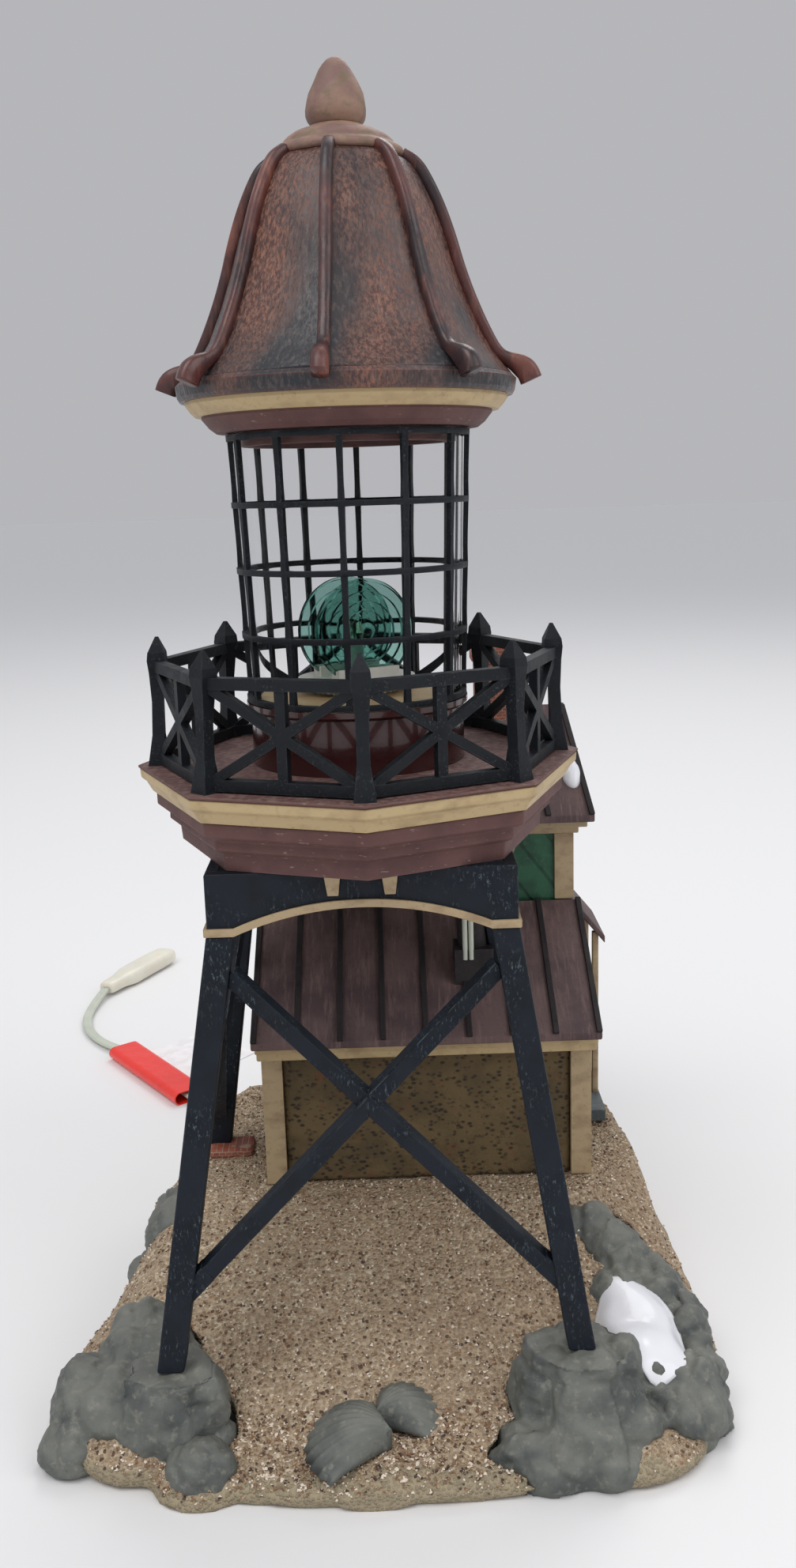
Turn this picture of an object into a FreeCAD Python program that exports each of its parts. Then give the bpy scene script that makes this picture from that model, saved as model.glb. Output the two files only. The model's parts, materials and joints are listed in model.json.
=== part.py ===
import FreeCAD, Part
import math
import os
import Sketcher
from FreeCAD import Placement, Rotation, Vector

# A lit lighthouse ornament: a keeper's house on a sand and rock base, with a skeleton
# tower in front of it that carries a gallery, a glazed lantern with a turning lens, and
# a bell-shaped roof that lifts off. Millimetres, +Z up, +Y away from the front, origin
# on the tower's axis at the level of the table.

os.makedirs("parts", exist_ok=True)

DIMENSIONS = [
    # base
    ("sand_top", 31.0, "level of the sand around the house"),
    ("rim_height", 6.0, "height of the base's rolled rim"),
    ("pad_left", 25.0, "level of the rock under the front left leg"),
    ("pad_right", 27.0, "level of the rock under the front right leg"),
    ("pad_rear", 30.4, "level of the rock under the rear left leg"),
    # legs and braces
    ("leg_width", 6.6, "side of a square leg"),
    ("leg_top", 130.0, "level of the legs' top ends"),
    ("leg_spread", 34.4, "leg centre from the tower axis at the top"),
    ("batter_side", 0.1524, "sideways slope of a leg"),
    ("batter_front", 0.1676, "slope of a leg to the front or the back"),
    ("brace_width", 4.2, "width and depth of a brace"),
    ("brace_top", 120.0, "level where the braces meet the legs above"),
    ("brace_bottom", 45.0, "level where the braces meet the legs below"),
    # apron under the gallery
    ("apron_half", 37.4, "half width of the apron"),
    ("apron_height", 15.5, "height of the apron's boards"),
    ("board_thick", 3.2, "thickness of an apron board"),
    ("arch_rise", 6.4, "rise of the arch in each board"),
    ("arch_half", 31.0, "half width of each arch"),
    ("trim_thick", 2.0, "height of the tan trim along an arch"),
    ("trim_proud", 0.8, "how far the trim stands out of the board"),
    # gallery
    ("gallery_turn", 2.0, "turn of the gallery about the tower axis, degrees"),
    ("gallery_radius", 57.5, "corner radius of the gallery floor"),
    ("gallery_floor", 165.6, "level of the gallery floor"),
    ("gallery_edge", 0.9, "thickness of the floor's brown edge"),
    ("cream_height", 6.2, "height of the cream band"),
    ("moulding_radius", 53.2, "corner radius of the upper brown moulding"),
    ("post_radius", 50.8, "distance of the railing posts from the axis"),
    ("post_height", 33.0, "height of a railing post with its cap"),
    ("post_width", 5.0, "width of a railing post"),
    ("rail_height", 27.0, "top of the upper rail above the floor"),
    ("rail_thick", 2.8, "thickness of the rails and their bars"),
    # lantern
    ("drum_radius", 27.4, "radius of the drum under the lantern"),
    ("drum_height", 16.0, "height of the drum"),
    ("cage_foot_radius", 28.4, "outer radius of the lantern's bars at the foot"),
    ("cage_top_radius", 30.4, "outer radius of the lantern's bars at the top"),
    ("cage_bar", 1.8, "width and depth of a lantern bar"),
    ("cage_height", 66.0, "height of the lantern cage"),
    ("cage_bars", 12, "upright bars round the lantern"),
    ("glass_wall", 1.6, "wall of the clear cylinder"),
    ("fit_gap", 0.3, "clearance between the lantern and the lift-off roof"),
    # roof
    ("roof_turn", -6.0, "turn of the roof about the tower axis, degrees"),
    ("soffit_radius", 35.8, "radius of the ring under the roof"),
    ("cornice_radius", 39.6, "radius of the cream cornice"),
    ("drip_radius", 41.4, "radius of the roof's dark lower band"),
    ("dome_height", 51.0, "height of the bell-shaped dome"),
    ("rib_width", 3.6, "width of a roof rib"),
    ("rib_proud", 1.5, "how far a rib stands out of the dome"),
    ("cap_radius", 17.4, "radius of the cap on the dome"),
    ("finial_radius", 7.3, "radius of the bud on top"),
    ("finial_height", 15.4, "height of the bud"),
    # lens and its drive
    ("lens_radius", 13.4, "radius of a lens panel"),
    ("lens_centre", 198.5, "level of the lens panels' centres"),
    ("lens_turn", 27.0, "angle at which the lens stands at rest, degrees"),
    ("lens_spacing", 9.0, "distance between the two lens panels' centres"),
    ("table_radius", 15.0, "radius of the turntable"),
    ("table_thick", 1.6, "thickness of the turntable"),
    ("ring_teeth", 36, "teeth of the ring gear under the turntable"),
    ("pinion_teeth", 12, "teeth of the motor pinion"),
    ("gear_module", 0.6, "module of the gear pair"),
    ("gear_face", 2.0, "face width of the gear pair"),
    ("spindle_radius", 2.0, "radius of the fixed hollow spindle"),
    ("running_gap", 0.06, "radial running clearance"),
    # house
    ("house_left", -32.6, "left face of the house's corner posts"),
    ("house_width", 97.0, "width over the corner posts"),
    ("house_front", 24.0, "front face of the lower corner posts"),
    ("upper_front", 60.0, "front face of the upper corner posts"),
    ("house_back", 104.0, "rear face of the house"),
    ("corner_post", 6.0, "side of a corner post"),
    ("wall_thick", 2.6, "thickness of a wall"),
    ("wall_set", 1.4, "how far a wall lies behind its posts"),
    ("eave_low", 79.4, "upper edge of the lower roof's eave"),
    ("eave_out", 8.0, "overhang of the lower roof in front of its posts"),
    ("lean_top", 106.0, "level of the lower roof at the upper wall"),
    ("roof_thick", 2.2, "thickness of a roof plate"),
    ("roof_over", 2.0, "overhang of the roofs at the ends"),
    ("seam_width", 1.7, "width of a standing seam"),
    ("seam_height", 1.1, "height of a standing seam"),
    ("seam_count", 9, "standing seams on a roof slope"),
    ("upper_eave", 134.8, "upper edge of the upper roof's eave"),
    ("upper_out", 8.0, "overhang of the upper roof"),
    ("ridge_level", 164.5, "level of the ridge"),
    ("upper_end", 5.4, "overhang of the upper roof at its ends"),
    ("fascia_low", 2.4, "height of the eave moulding's lower step"),
    ("fascia_high", 2.6, "height of the eave moulding's upper step"),
    ("groove_step", 10.5, "distance between the board grooves"),
    ("groove_slant", 22.0, "sideways run of a board groove"),
    ("hip_in", 5.3, "how far the ridge ends lie inside the eave ends"),
    ("chimney_side", 9.6, "side of the chimney"),
    ("chimney_top", 184.0, "level of the chimney's top"),
    ("chimney_place", 40.6, "place of the chimney along the ridge"),
    # cord
    ("cord_radius", 2.1, "half width of the low-voltage cord"),
]

doc = FreeCAD.newDocument("lighthouse_ornament")
sheet = doc.addObject("Spreadsheet::Sheet", "Dims")
for row, (alias, number, note) in enumerate(DIMENSIONS, start=1):
    sheet.set("A%d" % row, note)
    sheet.set("B%d" % row, str(number))
    sheet.setAlias("B%d" % row, alias)
doc.recompute()


def size(text):
    """The number that a formula in the sheet's names stands for."""
    return float(sheet.evalExpression(text))


# ---------------------------------------------------------------- building helpers

def constrained_outline(body, role, name, points):
    """A closed outline on one of the body's planes, each corner tied to the sheet."""
    sketch = body.newObject("Sketcher::SketchObject", name)
    plane = [item for item in body.Origin.OriginFeatures if item.Role == role][0]
    sketch.AttachmentSupport = [(plane, "")]
    sketch.MapMode = "FlatFace"
    places = [(size(across), size(up)) for across, up in points]
    count = len(points)
    for index in range(count):
        start = Vector(*places[index], 0)
        end = Vector(*places[(index + 1) % count], 0)
        sketch.addGeometry(Part.LineSegment(start, end))
    for index in range(count):
        sketch.addConstraint(Sketcher.Constraint("Coincident", index, 2, (index + 1) % count, 1))
    for index, (across, up) in enumerate(points):
        number = sketch.addConstraint(Sketcher.Constraint("DistanceX", -1, 1, index, 1, places[index][0]))
        sketch.setExpression("Constraints[%d]" % number, across)
        number = sketch.addConstraint(Sketcher.Constraint("DistanceY", -1, 1, index, 1, places[index][1]))
        sketch.setExpression("Constraints[%d]" % number, up)
    doc.recompute()
    return sketch


def turned(label, points, turn_axis="Z"):
    """A body of revolution about the tower axis from (radius, level) formulas."""
    body = doc.addObject("PartDesign::Body", label)
    sketch = constrained_outline(body, "XZ_Plane", label + "_outline", points)
    spin = body.newObject("PartDesign::Revolution", label + "_turned")
    spin.Profile = sketch
    spin.ReferenceAxis = (sketch, ["V_Axis"])
    spin.Angle = 360
    body.Tip = spin
    return body


def along_x(label, points, left, length):
    """A bar of constant section along X: (y, level) formulas, its left end and length."""
    body = doc.addObject("PartDesign::Body", label)
    sketch = constrained_outline(body, "YZ_Plane", label + "_section", points)
    pad = body.newObject("PartDesign::Pad", label + "_length")
    pad.Profile = sketch
    pad.setExpression("Length", length)
    body.Tip = pad
    body.setExpression("Placement.Base.x", left)
    return body


def block(label, corner, sides):
    """A rectangular block from formulas for its lowest corner and its sides."""
    item = doc.addObject("Part::Box", label)
    for axis, text in zip("xyz", corner):
        item.setExpression("Placement.Base." + axis, text)
    for side, text in zip(("Length", "Width", "Height"), sides):
        item.setExpression(side, text)
    return item


def whole(label, shape):
    """A piece whose shape is worked out here from the sheet's values."""
    item = doc.addObject("Part::Feature", label)
    item.Shape = shape
    return item


def group(solids):
    """Several separate solids kept as one piece."""
    return Part.makeCompound(solids)


def slab(points, direction):
    """A straight solid from a flat closed outline."""
    outline = Part.makePolygon(points + [points[0]])
    return Part.Face(outline).extrude(direction)


def skin(levels, sides, turn, ruled=True):
    """A solid through regular polygons given as (corner radius, level)."""
    rings = []
    for radius, level in levels:
        corners = []
        for index in range(sides):
            angle = math.radians(turn - 90 + 360.0 * index / sides)
            corners.append(Vector(radius * math.cos(angle), radius * math.sin(angle), level))
        rings.append(Part.makePolygon(corners + [corners[0]]))
    return Part.makeLoft(rings, True, ruled)


def bar(start, end, width, depth, outward):
    """A straight rectangular bar between two points, its depth along outward."""
    along = (end - start).normalize()
    across = along.cross(outward).normalize()
    out = across.cross(along).normalize()
    corners = []
    for side, lift in ((-1, -1), (1, -1), (1, 1), (-1, 1)):
        corners.append(start + across * (side * width / 2) + out * (lift * depth / 2))
    return slab(corners, end - start)


def about_axis(shape, angle):
    """A copy turned about the tower axis."""
    copy = shape.copy()
    copy.rotate(Vector(0, 0, 0), Vector(0, 0, 1), angle)
    return copy


def ring(points):
    """A closed wire of straight edges through the points."""
    return Part.makePolygon(points + [points[0]])


def boulder(centre, radii, turn, seed, sides=8):
    """A weathered rock: a faceted lump whose corners waver by a formula."""
    rings = [(-0.55, 0.92), (0.05, 1.0), (0.55, 0.80), (0.88, 0.44)]
    layers = []
    for level, (height, reach) in enumerate(rings):
        layer = []
        for index in range(sides):
            angle = 2 * math.pi * (index + 0.5 * (level % 2)) / sides
            waver = 1 + 0.10 * math.sin(2.3 * index + 1.7 * level + seed) \
                + 0.06 * math.cos(3.1 * index - 2.2 * level + 2 * seed)
            lift = height + 0.07 * math.sin(1.9 * index + 3.3 * level + seed)
            layer.append(Vector(radii[0] * reach * waver * math.cos(angle),
                                radii[1] * reach * waver * math.sin(angle), radii[2] * lift))
        layers.append(layer)
    bottom = Vector(0, 0, radii[2] * rings[0][0])
    top = Vector(0, 0, radii[2])
    faces = []
    for index in range(sides):
        after = (index + 1) % sides
        faces.append((bottom, layers[0][after], layers[0][index]))
        faces.append((top, layers[-1][index], layers[-1][after]))
    for level in range(len(rings) - 1):
        low, high = layers[level], layers[level + 1]
        for index in range(sides):
            after = (index + 1) % sides
            if level % 2 == 0:
                faces.append((low[index], low[after], high[index]))
                faces.append((low[after], high[after], high[index]))
            else:
                faces.append((low[index], low[after], high[after]))
                faces.append((low[index], high[after], high[index]))
    shell = Part.makeShell([Part.Face(Part.makePolygon(list(face) + [face[0]])) for face in faces])
    solid = Part.makeSolid(shell)
    if solid.Volume < 0:
        solid.reverse()
    solid.rotate(Vector(0, 0, 0), Vector(0, 0, 1), turn)
    solid.translate(Vector(*centre))
    return solid


def above_table(shape):
    """The part of a shape that lies above the table."""
    room = Part.makeBox(600, 600, 400, Vector(-300, -300, 0))
    return shape.common(room)


# ---------------------------------------------------------------- base

def base_outline(scale, level, centre):
    """The base's rounded outline, drawn in about its centre."""
    corners = [(-84, -48), (-87, -34), (-83, -14), (-75, 12), (-73, 40), (-75, 66), (-62, 94),
               (-24, 108), (24, 110), (64, 105), (86, 84), (90, 44), (92, 8), (92, -22),
               (87, -46), (72, -61), (48, -71.5), (16, -74), (-16, -74), (-44, -70), (-70, -60)]
    points = []
    for across, deep in corners:
        points.append(Vector(centre[0] + (across - centre[0]) * scale,
                             centre[1] + (deep - centre[1]) * scale, level))
    return ring(points)


def plateau_outline(level):
    """The level ground on which the house stands."""
    corners = [(-52, 20), (-54, 30), (-55, 40), (-54, 55), (-54, 70), (-52, 84), (-44, 96),
               (-18, 101), (16, 102), (50, 101), (72, 92), (78, 66), (80, 44), (78, 28),
               (68, 19), (50, 15), (34, 15), (16, 15), (-4, 15), (-24, 15), (-42, 16)]
    return ring([Vector(across, deep, level) for across, deep in corners])


def make_ground():
    """The sand mound with its rolled rim, before the rocks are let into it."""
    centre = (2, 15)
    rim = size("rim_height")
    rings = [base_outline(0.985, 0, centre), base_outline(1.0, rim * 0.45, centre),
             base_outline(0.975, rim, centre)]
    foot = Part.makeLoft(rings, True, True)
    mound = Part.makeLoft([base_outline(0.955, rim * 0.9, centre), plateau_outline(size("sand_top"))],
                          True, True)
    return foot.fuse(mound)


def leg_centre(side, front, level):
    """Where a leg's centre line is at a level; side and front are -1 or +1."""
    drop = size("leg_top") - level
    return Vector(side * (size("leg_spread") + size("batter_side") * drop),
                  front * (size("leg_spread") + size("batter_front") * drop), level)


def plinth(side, front, level, half_x, half_y):
    """The flat-topped rock that a leg stands on."""
    centre = leg_centre(side, front, level)
    rings = []
    for spread, drop in ((1.45, level), (1.25, level * 0.45), (1.0, 0.0)):
        corners = []
        for index in range(8):
            angle = 2 * math.pi * (index + 0.5) / 8
            waver = 1 + 0.08 * math.sin(2.1 * index + level)
            corners.append(Vector(centre.x + half_x * spread * waver * math.cos(angle),
                                  centre.y + half_y * spread * waver * math.sin(angle), level - drop))
        rings.append(Part.makePolygon(corners + [corners[0]]))
    return Part.makeLoft(rings, True, True)


def make_rocks():
    """The rock groups by name, each one solid standing on the table or in the sand."""
    left = plinth(-1, -1, size("pad_left"), 11.5, 9.5)
    left = left.fuse([boulder((-69, -44, 6), (16, 13, 12), 20, 1.0),
                      boulder((-60, -30, 10), (16, 13, 12), -10, 2.0)])
    right = plinth(1, -1, size("pad_right"), 14.0, 11.0)
    right = right.fuse([boulder((52, -60, 5), (15, 12, 13), 10, 3.0),
                        boulder((37, -63, 3), (12, 9, 10), -15, 4.0),
                        boulder((77, -46, 5), (13, 12, 14), 30, 5.0),
                        boulder((81, -22, 5), (9.5, 15, 15), 5, 6.0)])
    mid = boulder((66, 2, 12), (13, 13, 17), 15, 7.0).fuse(
        [boulder((76, -8, 8), (12, 12, 14), -20, 8.0), boulder((60, 17, 16), (9, 8, 13), 0, 9.0)])
    rear = plinth(-1, 1, size("pad_rear"), 9.0, 8.0)
    rear = rear.fuse([boulder((-58, 30, 12), (13, 14, 17), 10, 10.0),
                      boulder((-44, 24, 16), (9, 10, 13), -25, 11.0)])
    stone = boulder((-44, -60.5, 3), (8.4, 7.4, 10), 12, 12.0)
    rocks = {"rocks_front_left": left, "rocks_front_right": right.cut(mid), "rocks_right": mid,
             "rocks_rear_left": rear, "stone_front": stone.cut(left)}
    return {name: above_table(shape) for name, shape in rocks.items()}


def make_shell_rock():
    """A half-buried stone like a ribbed shell: a domed fan with raised ribs."""
    centre = Vector(-1.0, -57.5, 6.5)
    body = boulder((0, 0, 0), (14.0, 8.5, 8.0), 8, 13.0, sides=10)
    ribs = []
    for index in range(6):
        ridge = Part.makeTorus(5.0 + 1.8 * index, 0.8, Vector(0, 0, 0), Vector(0, -0.72, 0.69))
        ridge.translate(Vector(-3.0, 0.5, 1.5))
        ribs.append(ridge)
    body.translate(centre)
    return body, ribs


ground = make_ground()
rocks = make_rocks()
shell_rock, shell_ribs = make_shell_rock()


# levels and places that several house pieces share
WALL_FOOT = "Dims.sand_top"
LEAN_SLOPE = "(Dims.lean_top - Dims.eave_low) / (Dims.upper_front - Dims.house_front + Dims.eave_out)"
EAVE_Y = "Dims.house_front - Dims.eave_out"


def lean_level(y_text):
    """The lower roof's upper face at a place, as a formula."""
    return "Dims.eave_low + ((%s) - (%s)) * %s" % (y_text, EAVE_Y, LEAN_SLOPE)


def lean_under(y_text):
    """The lower roof's under face at a place, as a formula."""
    return "(%s) - Dims.roof_thick" % lean_level(y_text)


RIDGE_Y = "(Dims.upper_front + Dims.house_back) / 2"
UPPER_EAVE_Y = "Dims.upper_front - Dims.upper_out"
UPPER_SLOPE = "(Dims.ridge_level - Dims.upper_eave) / ((Dims.house_back - Dims.upper_front) / 2 + Dims.upper_out)"


def make_lower_house():
    """Stucco walls, corner posts, fascia and lean-to roof with its standing seams."""
    front = "Dims.house_front + Dims.wall_set"
    back = "Dims.house_back - Dims.wall_set"
    left = size("Dims.house_left + Dims.wall_set")
    width = size("Dims.house_width - 2 * Dims.wall_set")
    wall = size("Dims.wall_thick")
    foot = size(WALL_FOOT)
    y0, y1, y2 = size(front), size("Dims.upper_front + Dims.wall_set"), size(back)
    top = size("Dims.lean_top") - size("Dims.roof_thick")
    outline = [Vector(left, y0, foot), Vector(left, y2, foot), Vector(left, y2, top),
               Vector(left, y1, top), Vector(left, y0, size(lean_under(front)))]
    outer = slab(outline, Vector(width, 0, 0))
    room = Part.makeBox(width - 2 * wall, y2 - y0 - 2 * wall, top - foot - 12,
                        Vector(left + wall, y0 + wall, foot))
    below_roof = slab([Vector(left, y0, foot), Vector(left, y2, foot), Vector(left, y2, top - wall),
                       Vector(left, y1, top - wall),
                       Vector(left, y0, size(lean_under(front)) - wall)], Vector(width, 0, 0))
    walls = outer.cut(room.common(below_roof))
    posts = []
    half_step = size("Dims.corner_post")
    for x in (size("Dims.house_left"), size("Dims.house_left + Dims.house_width - Dims.corner_post")):
        y = size("Dims.house_front")
        low = [Vector(x, y, foot), Vector(x, y + half_step, foot),
               Vector(x, y + half_step, size(lean_under("%f" % (y + half_step)))),
               Vector(x, y, size(lean_under("%f" % y)))]
        posts.append(slab(low, Vector(half_step, 0, 0)))
        y = size("Dims.house_back - Dims.corner_post")
        posts.append(Part.makeBox(half_step, half_step, top - foot, Vector(x, y, foot)))
    posts = group(posts)
    walls = walls.cut(posts)
    return walls, posts


lower_walls, lower_posts = make_lower_house()
whole("lower_walls", lower_walls)


along_x("lower_roof",
        [(EAVE_Y, "Dims.eave_low - Dims.roof_thick"),
         ("Dims.upper_front", lean_under("Dims.upper_front")),
         ("Dims.upper_front", lean_level("Dims.upper_front")),
         (EAVE_Y, "Dims.eave_low")],
        "Dims.house_left - Dims.roof_over", "Dims.house_width + 2 * Dims.roof_over")

along_x("lower_fascia",
        [("Dims.house_front - 4.6", lean_under("Dims.house_front - 4.6")),
         ("Dims.house_front - 4.6", lean_under("Dims.house_front - 4.6") + " - 2.6"),
         ("Dims.house_front", lean_under("Dims.house_front - 4.6") + " - 2.6"),
         ("Dims.house_front", lean_under("Dims.house_front"))],
        "Dims.house_left - 1.2", "Dims.house_width + 2.4")


def slope_seams(left, right, left_top, right_top, low, high, thick):
    """Standing seams up a slope from the eave point low to the ridge point high (y, level)."""
    width = size("Dims.seam_width")
    tall = size("Dims.seam_height")
    count = int(size("Dims.seam_count"))
    seams = []
    for index in range(count):
        share = index / (count - 1.0)
        x_low = left + width / 2 + (right - left - width) * share
        x_high = left_top + width / 2 + (right_top - left_top - width) * share
        start = Vector(x_low, low[0], low[1])
        end = Vector(x_high, high[0], high[1])
        rise = Vector(0, low[1] - high[1], high[0] - low[0])
        if rise.z < 0:
            rise = rise * -1
        rise = rise.normalize() * tall
        side = Vector(width / 2, 0, 0)
        foot = [start - side, start + side, end + side, end - side]
        seams.append(slab(foot, rise))
    return seams


lean_left = size("Dims.house_left - Dims.roof_over")
lean_right = size("Dims.house_left + Dims.house_width + Dims.roof_over")
lean_seams = slope_seams(lean_left, lean_right, lean_left, lean_right,
                         (size(EAVE_Y), size("Dims.eave_low")),
                         (size("Dims.upper_front"), size("Dims.lean_top")), size("Dims.roof_thick"))


def make_upper_house():
    """Green board walls with diagonal grooves, and the corner posts in front of them."""
    floor = size("Dims.lean_top - Dims.roof_thick")
    foot = size("Dims.lean_top")
    top = size("Dims.upper_eave - Dims.roof_thick")
    left = size("Dims.house_left + Dims.wall_set")
    width = size("Dims.house_width - 2 * Dims.wall_set")
    wall = size("Dims.wall_thick")
    y0 = size("Dims.upper_front + Dims.wall_set")
    y1 = size("Dims.house_back - Dims.wall_set")
    post = size("Dims.corner_post")
    outer = Part.makeBox(width, y1 - y0, top - floor, Vector(left, y0, floor))
    room = Part.makeBox(width - 2 * wall, y1 - y0 - 2 * wall, top - floor,
                        Vector(left + wall, y0 + wall, floor))
    walls = outer.cut(room)
    posts = []
    post_top = top - size("Dims.fascia_low") - size("Dims.fascia_high")
    for x in (size("Dims.house_left"), size("Dims.house_left + Dims.house_width") - post):
        posts.append(Part.makeBox(post, post, post_top - foot, Vector(x, size("Dims.upper_front"), foot)))
        posts.append(Part.makeBox(post, post, post_top - floor, Vector(x, size("Dims.house_back") - post, floor)))
    fascia = []
    level = post_top
    for height, proud in ((size("Dims.fascia_low"), 1.4), (size("Dims.fascia_high"), 3.8)):
        fascia.append(Part.makeBox(size("Dims.house_width") + 2 * proud,
                                   size("Dims.house_back - Dims.upper_front") + 2 * proud, height,
                                   Vector(size("Dims.house_left") - proud,
                                          size("Dims.upper_front") - proud, level)))
        level += height
    fascia = fascia[0].fuse(fascia[1]).cut(outer)
    grooves = []
    slant = size("Dims.groove_slant")
    x = left - slant
    while x < left + width:
        grooves.append(bar(Vector(x, y0, top), Vector(x + slant, y0, floor), 0.9, 1.2, Vector(0, 1, 0)))
        x += size("Dims.groove_step")
    return walls.cut(grooves).cut(posts), group(posts), fascia


upper_walls, upper_posts, upper_fascia = make_upper_house()
whole("upper_walls", upper_walls)
whole("corner_posts", group(lower_posts.Solids + upper_posts.Solids))
whole("upper_fascia", upper_fascia)

ROOF_LEFT = "Dims.house_left - Dims.upper_end"
ROOF_RIGHT = "Dims.house_left + Dims.house_width + Dims.upper_end"
BACK_EAVE_Y = "Dims.house_back + Dims.upper_out"


def make_upper_roof():
    """The hipped roof with its eave plate, and the standing seams on both slopes."""
    left, right = size(ROOF_LEFT), size(ROOF_RIGHT)
    inward = size("Dims.hip_in")
    y0, y1, ridge = size(UPPER_EAVE_Y), size(BACK_EAVE_Y), size(RIDGE_Y)
    low, peak = size("Dims.upper_eave"), size("Dims.ridge_level")
    thick = size("Dims.roof_thick")
    base = [Vector(left, y0, low), Vector(right, y0, low), Vector(right, y1, low), Vector(left, y1, low)]
    top = [Vector(left + inward, ridge, peak), Vector(right - inward, ridge, peak)]
    faces = [[base[3], base[2], base[1], base[0]], [base[0], base[1], top[1], top[0]],
             [base[2], base[3], top[0], top[1]], [base[1], base[2], top[1]], [base[3], base[0], top[0]]]
    shell = Part.makeShell([Part.Face(Part.makePolygon(face + [face[0]])) for face in faces])
    form = Part.makeSolid(shell)
    if form.Volume < 0:
        form.reverse()
    plate = Part.makeBox(right - left, y1 - y0, thick, Vector(left, y0, low - thick))
    seams = []
    for start, facing in ((y0, 1), (y1, -1)):
        seams += slope_seams(left, right, left + inward, right - inward, (start, low),
                             (ridge - facing * 0.6, peak - 0.6), thick)
    return form.fuse(plate).removeSplitter(), seams


upper_roof, upper_seams = make_upper_roof()
side = size("Dims.chimney_side")
stack_x = size("Dims.chimney_place") - side / 2
stack_y = size(RIDGE_Y) - side / 2
stack_foot = size("Dims.ridge_level") - 9.0
stack = Part.makeBox(side, side, size("Dims.chimney_top") - stack_foot, Vector(stack_x, stack_y, stack_foot))
collar = Part.makeBox(side + 2, side + 2, 2.4,
                      Vector(stack_x - 1, stack_y - 1, size("Dims.chimney_top") - 4.4))
flue = Part.makeCylinder(side * 0.27, 6.0, Vector(stack_x + side / 2, stack_y + side / 2,
                                                 size("Dims.chimney_top") - 6.0))
chimney = stack.fuse(collar).cut(flue)
seam_group = group(upper_seams).cut(group([chimney, upper_roof]))
chimney = chimney.cut(upper_roof)
whole("upper_roof", upper_roof)
whole("upper_roof_seams", seam_group)
whole("chimney", chimney)


# ---------------------------------------------------------------- legs, braces, apron

def leg(side, front, foot_level):
    """A square leg that leans outwards, cut level at both ends."""
    half = size("Dims.leg_width") / 2
    rings = []
    for level in (foot_level, size("Dims.leg_top")):
        centre = leg_centre(side, front, level)
        corners = [centre + Vector(across * half, deep * half, 0)
                   for across, deep in ((-1, -1), (1, -1), (1, 1), (-1, 1))]
        rings.append(Part.makePolygon(corners + [corners[0]]))
    return Part.makeLoft(rings, True, True)


def brace(start, end, outward):
    return bar(start, end, size("Dims.brace_width"), size("Dims.brace_width"), outward)


legs = {
    "leg_front_left": leg(-1, -1, size("Dims.pad_left")),
    "leg_front_right": leg(1, -1, size("Dims.pad_right")),
    "leg_rear_left": leg(-1, 1, size("Dims.pad_rear")),
}
short_level = size("Dims.lean_top") - 14.0
short_leg = leg(1, 1, short_level).cut(lean_seams)
pipe_x, pipe_y = 31.0, 38.5


def under_lean(shape):
    """What is left of a shape above the lower roof's upper face."""
    y0, y1 = size(EAVE_Y), size("Dims.upper_front")
    z0, z1 = size("Dims.eave_low"), size("Dims.lean_top")
    room = slab([Vector(-100, y0 - 30, z0 - 30 * (z1 - z0) / (y1 - y0)), Vector(-100, y1, z1),
                 Vector(-100, y1, z1 + 200), Vector(-100, y0 - 30, z1 + 200)], Vector(220, 0, 0))
    return shape.common(room)


short_leg = under_lean(short_leg)
legs["leg_rear_right"] = short_leg
for name, shape in legs.items():
    whole(name, shape)

hood = Part.makeCylinder(4.4, 24, Vector(pipe_x, pipe_y, 88)).fuse(
    [Part.makeSphere(4.4, Vector(pipe_x, pipe_y, 112)),
     Part.makeBox(11.4, 10.6, 12.0, Vector(pipe_x - 5.7, pipe_y - 6.3, 88))])
lead_hood = under_lean(hood).cut(group(lean_seams + [short_leg]))
whole("lead_hood", lead_hood)
whole("lower_roof_seams", group(lean_seams).cut(group([short_leg])))


def crossing(front_face):
    """The two braces of one face of the tower, halved into each other where they cross."""
    high, low = size("Dims.brace_top"), size("Dims.brace_bottom")
    inner = size("Dims.leg_width") / 2
    top_x = leg_centre(1, 1, high).x - inner
    low_x = leg_centre(1, 1, low).x - inner
    top_y = leg_centre(1, 1, high).y
    low_y = leg_centre(1, 1, low).y
    outward = Vector(0, -1, -size("Dims.batter_front"))
    first = brace(Vector(-top_x, -top_y, high), Vector(low_x, -low_y, low), outward)
    second = brace(Vector(top_x, -top_y, high), Vector(-low_x, -low_y, low), outward)
    shared = first.common(second)
    box = shared.BoundBox
    nearer = Part.makeBox(60, 20, 60, Vector(-30, box.Center.y - 20, box.Center.z - 30))
    front_half = shared.common(nearer)
    return first.cut(shared.cut(nearer)), second.cut(front_half)


front_falling, front_rising = crossing(True)
front_legs = group([legs["leg_front_left"], legs["leg_front_right"], legs["leg_rear_left"]])
left_braces = [about_axis(item, -90) for item in crossing(False)]
whole("front_braces", group([front_falling.cut(front_legs), front_rising.cut(front_legs)]))
whole("left_braces", group([item.cut(front_legs) for item in left_braces]))


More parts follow.
